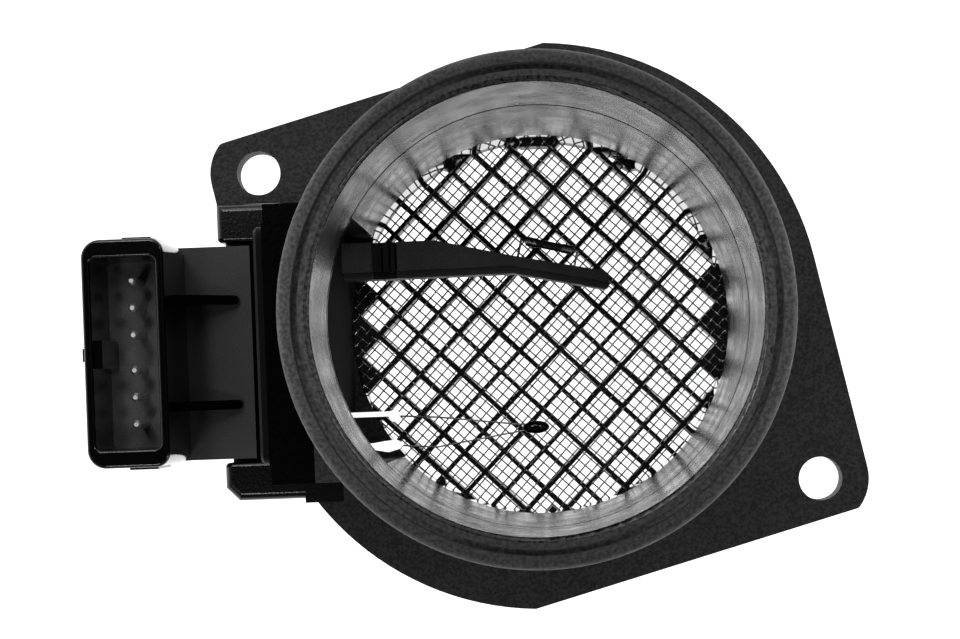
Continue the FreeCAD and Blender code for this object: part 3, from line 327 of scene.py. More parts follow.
@dataclass(frozen=True)
class DuctPlastic(MouldedPlastic):
    """The duct's plastic: grained outside, drawn smooth by the core inside the bore.

    The lowest stretch of the bore is polished, so it mirrors the wire cloth below it. The
    hose lip is painted paler than the rest as painted light, most of all at its left and
    right, and its groove is painted pale as painted light. The seat of the module is
    polished and painted black as painted shade.
    """

    bore_radius_mm: float = 34.7
    bore: Span = (0.16, 0.3)
    polished_top_mm: float = 15.0
    polished: float = 0.05
    # Painted light on the hose lip: paler tones, highest up and at the lip's left and right.
    lip_light_tones: Tones = ("#2e2e2f", "#525253")
    lip_light_height_mm: Span = (54.0, 68.0)
    lip_light_side_mm: Span = (22.0, 40.0)
    least_lip_light: float = 0.15
    # Painted light in the lip's groove: pale tones against the groove's shade.
    groove_light_tones: Tones = ("#5e5e5e", "#868685")
    groove_radius_mm: Span = (35.7, 37.5)
    groove_height_mm: Span = (75.0, 77.6)
    grain_fade_mm: Span = (6.6, 10.6)
    duct_grain: float = 0.12
    # Seat of the module: polished, and painted black as painted shade.
    seat_edge_mm: float = -36.8
    seat_height_mm: Span = (6.6, 55.0)
    wing: float = 0.17
    wing_fade_mm: Span = (13.0, 14.0)
    sleeve: float = 0.12

    def is_outside(self, canvas: Canvas) -> bpy.types.Node:
        """One outside the bore, zero on its wall.

        Args:
            canvas: Nodes of the material.

        Returns:
            Node that gives the test's result.
        """
        wall = self.bore_radius_mm * MM
        test = {"operation": "GREATER_THAN", 0: canvas.radius(), 1: wall}
        return canvas.add("ShaderNodeMath", test)

    def is_in_groove(self, canvas: Canvas) -> bpy.types.Node:
        """One in the lip's groove, where pale light is painted, zero elsewhere.

        Args:
            canvas: Nodes of the material.

        Returns:
            Node that gives the test's result.
        """
        ring = canvas.add("ShaderNodeMath", within(canvas.radius(), self.groove_radius_mm))
        level = canvas.add("ShaderNodeMath", within(canvas.z, self.groove_height_mm))
        return canvas.add("ShaderNodeMath", {"operation": "MULTIPLY", 0: ring, 1: level})

    def is_seat(self, canvas: Canvas) -> bpy.types.Node:
        """One on the wings and the sleeve that take the module, zero elsewhere.

        Args:
            canvas: Nodes of the material.

        Returns:
            Node that gives the test's result.
        """
        edge = {"operation": "LESS_THAN", 0: canvas.x, 1: self.seat_edge_mm * MM}
        beside = canvas.add("ShaderNodeMath", edge)
        level = canvas.add("ShaderNodeMath", within(canvas.z, self.seat_height_mm))
        return canvas.add("ShaderNodeMath", {"operation": "MULTIPLY", 0: beside, 1: level})

    def painted_lip_light(self, canvas: Canvas) -> bpy.types.Node:
        """Share of the painted light on the hose lip: full at the lip's left and right.

        Args:
            canvas: Nodes of the material.

        Returns:
            Node that gives the share.
        """
        rise = onto(canvas.z, metres(*self.lip_light_height_mm), (0, 1))
        side = canvas.add("ShaderNodeMath", {"operation": "ABSOLUTE", 0: canvas.x})
        side_light_settings = onto(side, metres(*self.lip_light_side_mm), (self.least_lip_light, 1))
        high = canvas.add("ShaderNodeMapRange", rise)
        side_light = canvas.add("ShaderNodeMapRange", side_light_settings)
        return canvas.add("ShaderNodeMath", {"operation": "MULTIPLY", 0: high, 1: side_light})

    def colour(self, canvas: Canvas, grain: Source) -> bpy.types.Node:
        """Colour with painted light, paler towards the lip and in its groove, and painted shade,
        black on the seat.

        Args:
            canvas: Nodes of the material.
            grain: Share of the light tone, by place.

        Returns:
            Node that gives the colour.
        """
        colour = super().colour(canvas, grain)
        # Painted light on the lip and in its groove, painted shade on the seat.
        for where, tones in (
            (self.painted_lip_light(canvas), self.lip_light_tones),
            (self.is_in_groove(canvas), self.groove_light_tones),
            (self.is_seat(canvas), BLACKS),
        ):
            colour = canvas.coat(colour, where, grain, tones)
        return colour

    def roughness(self, canvas: Canvas, patches: Source) -> bpy.types.Node:
        """Roughness by place: polished low bore, smooth bore, grained outside.

        Args:
            canvas: Nodes of the material.
            patches: Noise that tells the smoother patches.

        Returns:
            Node that gives the roughness.
        """
        top = {"operation": "GREATER_THAN", 0: canvas.z, 1: self.polished_top_mm * MM}
        streaks = canvas.add("ShaderNodeMapRange", onto(patches, NOISE_SPAN, self.bore))
        rise = onto(canvas.z, metres(*self.wing_fade_mm), (self.wing, self.sleeve))
        roughness: object = self.polished
        for where, over in (
            (canvas.add("ShaderNodeMath", top), streaks),
            (self.is_outside(canvas), super().roughness(canvas, patches)),
            (self.is_seat(canvas), canvas.add("ShaderNodeMapRange", rise)),
        ):
            values = {"Factor": where, "A": roughness, "B": over}
            roughness = canvas.add("ShaderNodeMix", values)
        return roughness

    def relief(self, canvas: Canvas, grain: Source) -> Source:
        """Grain on the flange and below it: the bore, the seat and the duct are smooth.

        Args:
            canvas: Nodes of the material.
            grain: Noise of the surface's grain.

        Returns:
            Node that gives the height.
        """
        rise = onto(canvas.z, metres(*self.grain_fade_mm), (1, self.duct_grain))
        height: Source = grain
        for share in (self.is_outside(canvas), canvas.add("ShaderNodeMapRange", rise)):
            values = {"operation": "MULTIPLY", 0: height, 1: share}
            height = canvas.add("ShaderNodeMath", values)
        return height


@dataclass(frozen=True)
class HousingPlastic(MouldedPlastic):
    """The housing's plastic: grained on plate, socket floor and plug, polished elsewhere.

    The grained faces are painted grey as painted light, the polished ones painted black as
    painted shade, and the socket's floor is painted palest as painted light in the deep socket.
    """

    plate_mm: float = 12.0
    floor_mm: float = 18.0
    level_half_mm: float = 0.3
    level_from: float = 0.95
    polished: float = 0.12
    # Socket floor painted palest: painted light in the deep socket.
    floor: Tones = ("#505052", "#626264")
    plug_from_mm: float = -41.0
    plug: float = 0.9

    def is_polished(self, canvas: Canvas) -> bpy.types.Node:
        """Zero on the plate's top and the socket's floor, one elsewhere.

        Args:
            canvas: Nodes of the material.

        Returns:
            Node that gives the test's result.
        """
        level = {"operation": "GREATER_THAN", 0: canvas.upward(), 1: self.level_from}
        test = canvas.add("ShaderNodeMath", level)
        plate, floor = (
            canvas.add(
                "ShaderNodeMath",
                within(canvas.z, (height - self.level_half_mm, height + self.level_half_mm)),
            )
            for height in (self.plate_mm, self.floor_mm)
        )
        either = canvas.add("ShaderNodeMath", {"operation": "ADD", 0: plate, 1: floor})
        values = {"operation": "MULTIPLY", 0: either, 1: test}
        grained = canvas.add("ShaderNodeMath", values)
        return canvas.add("ShaderNodeMath", {"operation": "SUBTRACT", 0: 1.0, 1: grained})

    def colour(self, canvas: Canvas, grain: Source) -> bpy.types.Node:
        """Painted light: grey grained faces, with the socket's floor the palest; painted shade:
        black polished ones.

        Args:
            canvas: Nodes of the material.
            grain: Share of the light tone, by place.

        Returns:
            Node that gives the colour.
        """
        rise = onto(canvas.z, metres(self.plate_mm, self.floor_mm), (0, 1))
        plate = super().colour(canvas, grain)
        where = canvas.add("ShaderNodeMapRange", rise)
        grained = canvas.coat(plate, where, grain, self.floor)
        # Painted shade: black on the polished faces.
        return canvas.coat(grained, self.is_polished(canvas), grain, BLACKS)

    def roughness(self, canvas: Canvas, patches: Source) -> bpy.types.Node:
        """Roughness of the grained faces, the polished shell and the dull plug.

        Args:
            canvas: Nodes of the material.
            patches: Noise that tells the smoother patches.

        Returns:
            Node that gives the roughness.
        """
        edge = {"operation": "GREATER_THAN", 0: canvas.x, 1: self.plug_from_mm * MM}
        roughness = super().roughness(canvas, patches)
        for where, over in (
            (self.is_polished(canvas), self.polished),
            (canvas.add("ShaderNodeMath", edge), self.plug),
        ):
            values = {"Factor": where, "A": roughness, "B": over}
            roughness = canvas.add("ShaderNodeMix", values)
        return roughness


@dataclass(frozen=True)
class ArmPlastic(MouldedPlastic):
    """The arm's plastic: finely grained and grey at its root, painted darker towards the tip as
    painted shade.

    A band across the root is painted black as painted shade.
    """

    # Painted shade: a band painted black across the root.
    painted_band_shade: Tones = ("#030303", "#030303")
    band_mm: Span = (-29.3, -25.1)
    root_mm: float = -24.0
    tip_mm: float = 4.0
    # Painted shade: darker tones towards the tip.
    tip: Tones = ("#0e0e0f", "#19191a")

    def colour(self, canvas: Canvas, grain: Source) -> bpy.types.Node:
        """Colour with painted shade: darker towards the tip and deep black in the band.

        Args:
            canvas: Nodes of the material.
            grain: Share of the light tone, by place.

        Returns:
            Node that gives the colour.
        """
        way = onto(canvas.x, metres(self.root_mm, self.tip_mm), (0, 1))
        root = super().colour(canvas, grain)
        arm = canvas.coat(root, canvas.add("ShaderNodeMapRange", way), grain, self.tip)
        in_band = canvas.add("ShaderNodeMath", within(canvas.x, self.band_mm))
        return canvas.coat(arm, in_band, grain, self.painted_band_shade)


@dataclass(frozen=True)
class LatticePlastic(MouldedPlastic):
    """The lattice's plastic: matte on top, smoother on the cell walls.

    The walls catch only a little of the light table, so each bar looks black.
    """

    wall: float = 0.45
    top_from: float = 0.5

    def roughness(self, canvas: Canvas, patches: Source) -> bpy.types.Node:
        """Roughness by the direction of the face.

        Args:
            canvas: Nodes of the material.
            patches: Noise that tells the smoother patches.

        Returns:
            Node that gives the roughness.
        """
        steep = canvas.add("ShaderNodeMath", {"operation": "ABSOLUTE", 0: canvas.upward()})
        test = {"operation": "GREATER_THAN", 0: steep, 1: self.top_from}
        values = {
            "Factor": canvas.add("ShaderNodeMath", test),
            "A": self.wall,
            "B": super().roughness(canvas, patches),
        }
        return canvas.add("ShaderNodeMix", values)


@dataclass(frozen=True)
class Metal:
    """Bare or tinned metal whose drawing or stamping marks blur its reflections."""

    name: str
    tones: Tones
    mark_mm: float
    mark_depth_mm: float
    smoothest: float
    roughest: float
    mark_detail: float = 3

    def build(self) -> bpy.types.Material:
        """Make the material.

        Returns:
            The material.
        """
        canvas = Canvas(self.name)
        texture = {"Scale": per_metre(self.mark_mm), "Detail": self.mark_detail}
        marks = canvas.add("ShaderNodeTexNoise", {"Vector": canvas.place, **texture})
        relief = {"Strength": 1.0, "Distance": self.mark_depth_mm * MM, "Height": marks}
        ends = (self.smoothest, self.roughest)
        share = canvas.add("ShaderNodeMapRange", onto(marks, TONE_SPAN, (0, 1)))
        surface = {
            "Metallic": 1.0,
            "Base Color": self.colour(canvas, share),
            "Roughness": canvas.add("ShaderNodeMapRange", onto(marks, NOISE_SPAN, ends)),
            "Normal": canvas.add("ShaderNodeBump", relief),
        }
        return canvas.close(canvas.add("ShaderNodeBsdfPrincipled", surface))

    def colour(self, canvas: Canvas, marks: Source) -> bpy.types.Node:
        """Colour that follows the marks, the same everywhere.

        Args:
            canvas: Nodes of the material.
            marks: Share of the light tone, by place.

        Returns:
            Node that gives the colour.
        """
        dark, light = self.tones
        tones = {"data_type": "RGBA", "Factor": marks, "A": dark, "B": light}
        return canvas.add("ShaderNodeMix", tones)


@dataclass(frozen=True)
class ClothSteel(Metal):
    """Drawn stainless wire, dull grey with a painted glint on the crests of the weave.

    The painted glints show as short dashes where a wire passes over a black bar.
    """

    crest_height_mm: Span = (4.2, 4.26)
    # Painted glint: bright tones on the crests of the weave.
    crest_glint: Tones = ("#d8d8d6", "#f4f4f2")

    def colour(self, canvas: Canvas, marks: Source) -> bpy.types.Node:
        """Colour by the height in the cloth, with a painted glint on the crests.

        Args:
            canvas: Nodes of the material.
            marks: Share of the light tone, by place.

        Returns:
            Node that gives the colour.
        """
        rise = onto(canvas.z, metres(*self.crest_height_mm), (0, 1))
        where = canvas.add("ShaderNodeMapRange", rise)
        return canvas.coat(super().colour(canvas, marks), where, marks, self.crest_glint)


@dataclass(frozen=True)
class ClearWhitePlastic:
    """White sleeve plastic that lets the table's light through, and a painted glow of its own
    colour.
    """

    name: str
    tones: Tones
    cloud_mm: float
    roughness: float
    clearness: float
    # Strength of the painted glow.
    glow: float
    cloud_detail: float = 2

    def build(self) -> bpy.types.Material:
        """Make the material.

        Returns:
            The material.
        """
        canvas = Canvas(self.name)
        texture = {"Scale": per_metre(self.cloud_mm), "Detail": self.cloud_detail}
        clouds = canvas.add("ShaderNodeTexNoise", {"Vector": canvas.place, **texture})
        share = canvas.add("ShaderNodeMapRange", onto(clouds, TONE_SPAN, (0, 1)))
        dark, light = self.tones
        tones = {"data_type": "RGBA", "Factor": share, "A": dark, "B": light}
        colour = canvas.add("ShaderNodeMix", tones)
        # Painted light: the emission makes the sleeve glow though it is no lamp.
        surface = {
            "Roughness": self.roughness,
            "Emission Strength": self.glow,
            "Base Color": colour,
            "Emission Color": colour,
        }
        outside = canvas.add("ShaderNodeBsdfPrincipled", surface)
        through = canvas.add("ShaderNodeBsdfTranslucent", {"Color": colour})
        both = {"Fac": self.clearness, 1: outside, 2: through}
        return canvas.close(canvas.add("ShaderNodeMixShader", both))


@dataclass(frozen=True)
class LightTable:
    """Opal acrylic lit from below, which gives the even white behind the sensor."""

    name: str
    colour: str
    strength: float

    def build(self) -> bpy.types.Material:
        """Make the material.

        Returns:
            The material.
        """
        canvas = Canvas(self.name)
        glow = {"Color": self.colour, "Strength": self.strength}
        return canvas.close(canvas.add("ShaderNodeEmission", glow))


class Finish(Enum):
    """The finishes of the sensor's own pieces."""

    # Coarse grain that sparkles dark grey on the flange.
    DUCT = DuctPlastic(
        "moulded_glass_filled_nylon", ("#010101", "#2d2d2e"),
        grain_mm=0.6, grain_depth_mm=0.17, patch_mm=6, smoothest=0.6, roughest=0.7,
    )
    # Painted satin grey on plate and socket floor, painted gloss black round them: painted light
    # and shade.
    HOUSING = HousingPlastic(
        "moulded_polyester_satin", ("#2b2b2d", "#39393b"),
        grain_mm=0.25, grain_depth_mm=0.012, patch_mm=4, smoothest=0.5, roughest=0.56,
    )
    # Deep black, with hardly a reflection.
    COVER = MouldedPlastic(
        "moulded_polyester_matte", BLACKS,
        grain_mm=0.5, grain_depth_mm=0.002, patch_mm=4, smoothest=0.5, roughest=0.6, ior=1.2,
    )
    # Black bars against the light.
    LATTICE = LatticePlastic(
        "moulded_nylon_plain", ("#010101", "#040404"),
        grain_mm=0.4, grain_depth_mm=0.002, patch_mm=3, smoothest=0.65, roughest=0.75,
    )
    # Dark grey with soft reflections along its edges, and painted shade towards the tip and
    # across the root.
    ARM = ArmPlastic(
        "moulded_polyester_fine", ("#464648", "#5a5a5b"),
        grain_mm=0.2, grain_depth_mm=0.005, patch_mm=3, smoothest=0.35, roughest=0.48,
    )
    # Dull dark rubber.
    RUBBER = MouldedPlastic(
        "moulded_nitrile_rubber", ("#0e0e0e", "#171717"),
        grain_mm=0.5, grain_depth_mm=0.01, patch_mm=5, smoothest=0.7, roughest=0.85,
    )
    # Green lacquer over glass cloth.
    BOARD = MouldedPlastic(
        "solder_masked_laminate", ("#0e3a1f", "#14502b"),
        grain_mm=1.2, grain_depth_mm=0.01, patch_mm=3, smoothest=0.3, roughest=0.4,
    )
    # Dull black case.
    CHIP = MouldedPlastic(
        "moulded_epoxy_case", ("#151515", "#202020"),
        grain_mm=0.15, grain_depth_mm=0.004, patch_mm=2, smoothest=0.55, roughest=0.65,
    )
    # Brown fired body.
    CERAMIC = MouldedPlastic(
        "fired_capacitor_ceramic", ("#7a5a3c", "#8d6b4a"),
        grain_mm=0.2, grain_depth_mm=0.004, patch_mm=1, smoothest=0.4, roughest=0.5,
    )
    # Dark glaze with clear highlights.
    GLAZE = MouldedPlastic(
        "glazed_element_ceramic", ("#1d1d1e", "#3c3c3d"),
        grain_mm=0.5, grain_depth_mm=0.004, patch_mm=1, smoothest=0.12, roughest=0.2,
    )
    # Glossy black drop.
    BEAD = MouldedPlastic(
        "dipped_epoxy_bead", ("#060606", "#0c0c0c"),
        grain_mm=0.8, grain_depth_mm=0.01, patch_mm=1, smoothest=0.06, roughest=0.12,
    )
    # Fine grey wire with painted glints on its crests.
    CLOTH = ClothSteel(
        "drawn_stainless_wire", ("#5c5c5b", "#7c7c7b"),
        mark_mm=0.6, mark_depth_mm=0.002, smoothest=0.2, roughest=0.3,
    )
    # Silvery grey wire.
    LEAD = Metal(
        "bare_nickel_wire", ("#a8a8a6", "#cfcfcd"),
        mark_mm=0.4, mark_depth_mm=0.002, smoothest=0.2, roughest=0.3,
    )
    # Bright pressed cap.
    CAP = Metal(
        "pressed_steel_cap", ("#b5b5b4", "#dcdcda"),
        mark_mm=0.5, mark_depth_mm=0.003, smoothest=0.15, roughest=0.28,
    )
    # White with a painted glow against the black wall.
    SLEEVE = ClearWhitePlastic(
        "translucent_white_sleeve", ("#ececea", "#fbfbf9"),
        cloud_mm=1.2, roughness=0.4, clearness=0.4, glow=1.1,
    )
    # Soft bright tin, so each pin's end is a light dot.
    CONTACT = Metal(
        "tinned_brass_contact", ("#dad9d4", "#f2f1ec"),
        mark_mm=0.3, mark_depth_mm=0.002, smoothest=0.4, roughest=0.5,
    )
    # Yellow stamped metal.
    STRIP = Metal(
        "stamped_brass_strip", ("#a5853f", "#c4a35a"),
        mark_mm=0.3, mark_depth_mm=0.002, smoothest=0.25, roughest=0.38,
    )


FINISH_BY_SLOT = {
    "duct_plastic": Finish.DUCT,
    "grid_plastic": Finish.LATTICE,
    "cloth_steel": Finish.CLOTH,
    "ring_plastic": Finish.LATTICE,
    "seal_rubber": Finish.RUBBER,
    "housing_plastic": Finish.HOUSING,
    "cover_plastic": Finish.COVER,
    "board_laminate": Finish.BOARD,
    "chip_epoxy": Finish.CHIP,
    "capacitor_ceramic": Finish.CERAMIC,
    "arm_plastic": Finish.ARM,
    "arm_cover_plastic": Finish.ARM,
    "element_ceramic": Finish.GLAZE,
    "element_cap_steel": Finish.CAP,
    "lead_wire": Finish.LEAD,
    "bead_epoxy": Finish.BEAD,
    "conductor_brass": Finish.STRIP,
    "post_sleeve": Finish.SLEEVE,
    "contact_metal": Finish.CONTACT,
}


class Wardrobe:
    """Builds each finish once and puts it on pieces."""

    def __init__(self) -> None:
        """Start with nothing built."""
        self.built: dict[Finish, bpy.types.Material] = {}

    def material(self, finish: Finish) -> bpy.types.Material:
        """Return the material of a finish, made on first use.

        Args:
            finish: Finish that is wanted.

        Returns:
            The material.
        """
        if finish not in self.built:
            self.built[finish] = finish.value.build()
        return self.built[finish]

    def dress(self, piece: bpy.types.Object, finish: Finish) -> None:
        """Put a finish on all of a piece.

        Args:
            piece: Mesh object to dress.
            finish: Finish that it takes.
        """
        if not piece.data.materials:
            piece.data.materials.append(None)
        for slot in piece.material_slots:
            slot.material = self.material(finish)

    def dress_frame(self) -> None:
        """Put the finish of its record slot on every piece of the frame."""
        for part in frame["record"]["subparts"]:
            finish = FINISH_BY_SLOT[part["material_slot"]]
            self.dress(frame["nodes"][part["node"]], finish)
            log.info("%s takes %s", part["node"], finish.value.name)


@dataclass
class MouldedLattice:
    """Moulded lattice with all of its edge cells, in the place of the CAD lattice.

    The cells reach out to the rim. Only the outermost ones left and right are closed,
    and a few short tabs stand inwards from the rim. Each tab is an angle round the bore
    and half of its width, in degrees. A closed cell is named by its place across and
    along the bore, in half diagonals of a cell.
    """

    pitch_mm: float = 5.3
    bar_mm: float = 0.84
    turn_deg: float = 45.3
    middle_mm: Span = (-0.1, -0.6)
    opening_mm: float = 34.9
    rim_margin_mm: float = 0.05
    tab_mm: float = 33.6
    tabs_deg: tuple[Span, ...] = (
        (-25.0, 1.5),
        (26.0, 2.0),
        (60.0, 3.0),
        (90.0, 5.0),
        (117.0, 2.5),
        (236.0, 2.0),
        (272.0, 1.5),
    )
    corner_mm: float = 0.3
    corner_steps: int = 2
    sharp_deg: float = 60.0
    least_share: float = 0.04
    snap_mm: float = 0.0001
    steps: int = 180
    closed: frozenset[tuple[int, int]] = frozenset({(9, 0), (9, 2)})

    def build(self, wardrobe: Wardrobe) -> bpy.types.Object:
        """Mould the lattice and put it in the CAD lattice's place.

        Args:
            wardrobe: Source of the plastic's finish.

        Returns:
            The lattice as one mesh object.
        """
        low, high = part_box("flow_grid")
        plan = bmesh.new()
        self.draw_plan(plan, high.x, high.z)
        self.open_cells(plan)
        self.give_depth(plan, high.z - low.z)
        mesh = bpy.data.meshes.new("moulded_lattice")
        plan.to_mesh(mesh)
        plan.free()
        lattice = put_in_scene("moulded_lattice", mesh)
        wardrobe.dress(lattice, Finish.LATTICE)
        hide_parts("flow_grid")
        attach(lattice, BODY)
        return lattice

    def opening_at(self, degrees: float) -> float:
        """Radius of the opening at an angle, less where a tab stands.

        Args:
            degrees: Angle round the bore.

        Returns:
            Radius in metres.
        """
        for middle, half in self.tabs_deg:
            if abs((degrees - middle + 180) % 360 - 180) < half:
                return self.tab_mm * MM
        return self.opening_mm * MM

    def draw_plan(self, plan: bmesh.types.BMesh, outer: float, height: float) -> None:
        """Draw the rim as a ring of faces and the opening as one face.

        Args:
            plan: Mesh to draw in.
            outer: Outer radius in metres.
            height: Height of the plan in metres.
        """
        lift = Vector((0.0, 0.0, height))
        inside = []
        outside = []
        for step in range(self.steps):
            degrees = 360 * step / self.steps
            inside.append(plan.verts.new(ray(degrees) * self.opening_at(degrees) + lift))
            outside.append(plan.verts.new(ray(degrees) * outer + lift))
        plan.faces.new(inside)
        for step in range(self.steps):
            after = (step + 1) % self.steps
            plan.faces.new((inside[step], outside[step], outside[after], inside[after]))

    def open_cells(self, plan: bmesh.types.BMesh) -> None:
        """Cut the opening along both edges of every bar and take the cells out.

        Args:
            plan: Mesh that the lattice is drawn in.
        """
        half = self.bar_mm * MM / 2
        count = int(self.opening_mm / self.pitch_mm)
        for quarter in (0, 1):
            normal = ray(self.turn_deg + 90 * quarter)
            for row in range(-count, count + 1):
                for side in (-half, half):
                    reach = row * self.pitch_mm * MM + side
                    self.cut(plan, self.middle() + normal * reach, normal)
        gaps = [face for face in plan.faces if self.is_gap(face)]
        bmesh.ops.delete(plan, geom=gaps, context="FACES")

    def cut(self, plan: bmesh.types.BMesh, place: Vector, normal: Vector) -> None:
        """Cut the faces inside the rim along a plane.

        Args:
            plan: Mesh that the lattice is drawn in.
            place: Point on the plane.
            normal: Direction that the plane faces.
        """
        inner = [face for face in plan.faces if not self.is_rim(face)]
        edges = {edge for face in inner for edge in face.edges}
        spots = {spot for face in inner for spot in face.verts}
        bmesh.ops.bisect_plane(
            plan,
            geom=inner + list(edges) + list(spots),
            dist=self.snap_mm * MM,
            plane_co=place,
            plane_no=normal,
        )

    def middle(self) -> Vector:
        """Point where the two middle bars cross."""
        return Vector((*self.middle_mm, 0.0)) * MM

    def is_rim(self, face: bmesh.types.BMFace) -> bool:
        """True for a face of the rim's ring."""
        reach = max(math.hypot(spot.co.x, spot.co.y) for spot in face.verts)
        return reach > (self.opening_mm + self.rim_margin_mm) * MM

    def is_gap(self, face: bmesh.types.BMFace) -> bool:
        """True for a face that lies in an open cell.

        Args:
            face: Face of the plan.

        Returns:
            True for a face to take out.
        """
        if self.is_rim(face):
            return False
        turn = Matrix.Rotation(math.radians(-self.turn_deg), 3, "Z")
        place = turn @ (face.calc_center_median() - self.middle())
        pitch = self.pitch_mm * MM
        bar = self.bar_mm * MM
        for distance in (place.x, place.y):
            if abs(distance - round(distance / pitch) * pitch) < bar / 2:
                return False
        column = (math.floor(place.x / pitch) + 0.5) * pitch
        row = (math.floor(place.y / pitch) + 0.5) * pitch
        centre = turn.inverted() @ Vector((column, row, 0.0))
        diagonal = pitch / math.sqrt(2)
        cell = (abs(round(centre.x / diagonal)), abs(round(centre.y / diagonal)))
        small = face.calc_area() < self.least_share * (pitch - bar) ** 2
        return cell not in self.closed and not small

    def give_depth(self, plan: bmesh.types.BMesh, depth: float) -> None:
        """Draw the plan down to its depth and round the cells' upright corners.

        Args:
            plan: Flat plan with its cells open.
            depth: Depth of the lattice in metres.
        """
        sheet = list(plan.faces)
        drawn = bmesh.ops.extrude_face_region(plan, geom=sheet, use_keep_orig=True)
        spots = [item for item in drawn["geom"] if isinstance(item, bmesh.types.BMVert)]
        bmesh.ops.translate(plan, verts=spots, vec=(0, 0, -depth))
        bmesh.ops.recalc_face_normals(plan, faces=plan.faces)
        bmesh.ops.bevel(
            plan,
            geom=[edge for edge in plan.edges if self.is_corner(edge, depth)],
            offset=self.corner_mm * MM,
            affect="EDGES",
            segments=self.corner_steps,
            profile=0.5,
            material=-1,
            clamp_overlap=True,
        )

    def is_corner(self, edge: bmesh.types.BMEdge, depth: float) -> bool:
        """True for a sharp upright edge.

        Args:
            edge: Edge of the lattice.
            depth: Depth of the lattice in metres.

        Returns:
            True for an edge to round.
        """
        run = edge.verts[0].co - edge.verts[1].co
        upright = abs(run.z) > depth / 2 and len(edge.link_faces) == 2
        return upright and edge.calc_face_angle() > math.radians(self.sharp_deg)


@dataclass
class WovenCloth:
    """Plain-woven wire cloth in a flat rim, which stands for the coarser CAD screen."""

    pitch_mm: float = 1.565
    wire_mm: float = 0.28
    turn_deg: float = 47.0
    rim_mm: float = 0.9
    rim_steps: int = 96
    sides: int = 1
    steps: int = 2
    order: int = 3

    def build(self, wardrobe: Wardrobe) -> bpy.types.Object:
        """Weave the cloth and put it in the CAD screen's place.

        Args:
            wardrobe: Source of the wire's finish.

        Returns:
            The cloth as one mesh object.
        """
        low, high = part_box("wire_screen")
        outer = high.x
        wires = self.weave(outer - self.rim_mm * MM / 2, low.z, high.z)
        self.add_rim(wires, outer, low.z, high.z)
        cloth = put_in_scene("woven_wire_cloth", wires)
        wardrobe.dress(cloth, Finish.CLOTH)
        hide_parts("wire_screen")
        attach(cloth, BODY)
        return cloth

    def weave(self, reach: float, bottom: float, top: float) -> bpy.types.Mesh:
        """Tubes of two crossing sets of wires that pass over and under each other.

        Args:
            reach: Radius at which the wires end, in metres.
            bottom: Lower side of the cloth in metres.
            top: Upper side of the cloth in metres.

        Returns:
            Mesh of all wires.
        """
        curve = bpy.data.curves.new("wires", "CURVE")
        curve.dimensions = "3D"
        curve.bevel_depth = self.wire_mm * MM / 2
        curve.bevel_resolution = self.sides
        curve.resolution_u = self.steps
        curve.use_fill_caps = True
        lift = top - bottom - self.wire_mm * MM
        count = int(reach / (self.pitch_mm * MM))
        for quarter in (0, 1):
            turn = Matrix.Rotation(math.radians(self.turn_deg + 90 * quarter), 3, "Z")
            for row in range(-count, count + 1):
                points = self.wire_points(row, quarter, reach, lift)
                spline = curve.splines.new("NURBS")
                spline.points.add(len(points) - 1)
                for spot, point in zip(spline.points, points):
                    place = turn @ point
                    spot.co = (place.x, place.y, place.z + (bottom + top) / 2, 1.0)
                spline.order_u = self.order
                spline.use_endpoint_u = True
        holder = put_in_scene("wires", curve)
        graph = bpy.context.evaluated_depsgraph_get()
        mesh = bpy.data.meshes.new_from_object(holder.evaluated_get(graph))
        bpy.data.objects.remove(holder)
        return mesh

    def wire_points(self, row: int, quarter: int, reach: float, lift: float) -> list[Vector]:
        """Points that guide one wire over and under the wires that it crosses.

        Args:
            row: Number of the wire from the middle one.
            quarter: Zero for the first set of wires, one for the set across it.
            reach: Radius at which the wires end, in metres.
            lift: Height of the points above and below the middle, in metres.

        Returns:
            Points along the X axis.
        """
        pitch = self.pitch_mm * MM
        offset = row * pitch
        half = math.sqrt(reach ** 2 - offset ** 2)
        points = [Vector((-half, offset, 0.0))]
        for crossing in range(math.ceil(-half / pitch), math.floor(half / pitch) + 1):
            side = 1 if (crossing + row + quarter) % 2 else -1
            points.append(Vector((crossing * pitch, offset, side * lift)))
        points.append(Vector((half, offset, 0.0)))
        return points

    def add_rim(self, mesh: bpy.types.Mesh, outer: float, bottom: float, top: float) -> None:
        """Add the flat ring that the wires end in.

        Args:
            mesh: Mesh that gets the ring.
            outer: Outer radius in metres.
            bottom: Lower face in metres.
            top: Upper face in metres.
        """
        inner = outer - self.rim_mm * MM
        ring = bmesh.new()
        ring.from_mesh(mesh)
        section = [
            ring.verts.new((radius, 0.0, height))
            for radius, height in ((inner, bottom), (outer, bottom), (outer, top), (inner, top))
        ]
        edges = [ring.edges.new((section[i], section[(i + 1) % 4])) for i in range(4)]
        bmesh.ops.spin(
            ring,
            geom=section + edges,
            cent=(0, 0, 0),
            axis=(0, 0, 1),
            angle=2 * math.pi,
            steps=self.rim_steps,
            use_merge=True,
        )
        bmesh.ops.recalc_face_normals(ring, faces=ring.faces)
        ring.to_mesh(mesh)
        ring.free()


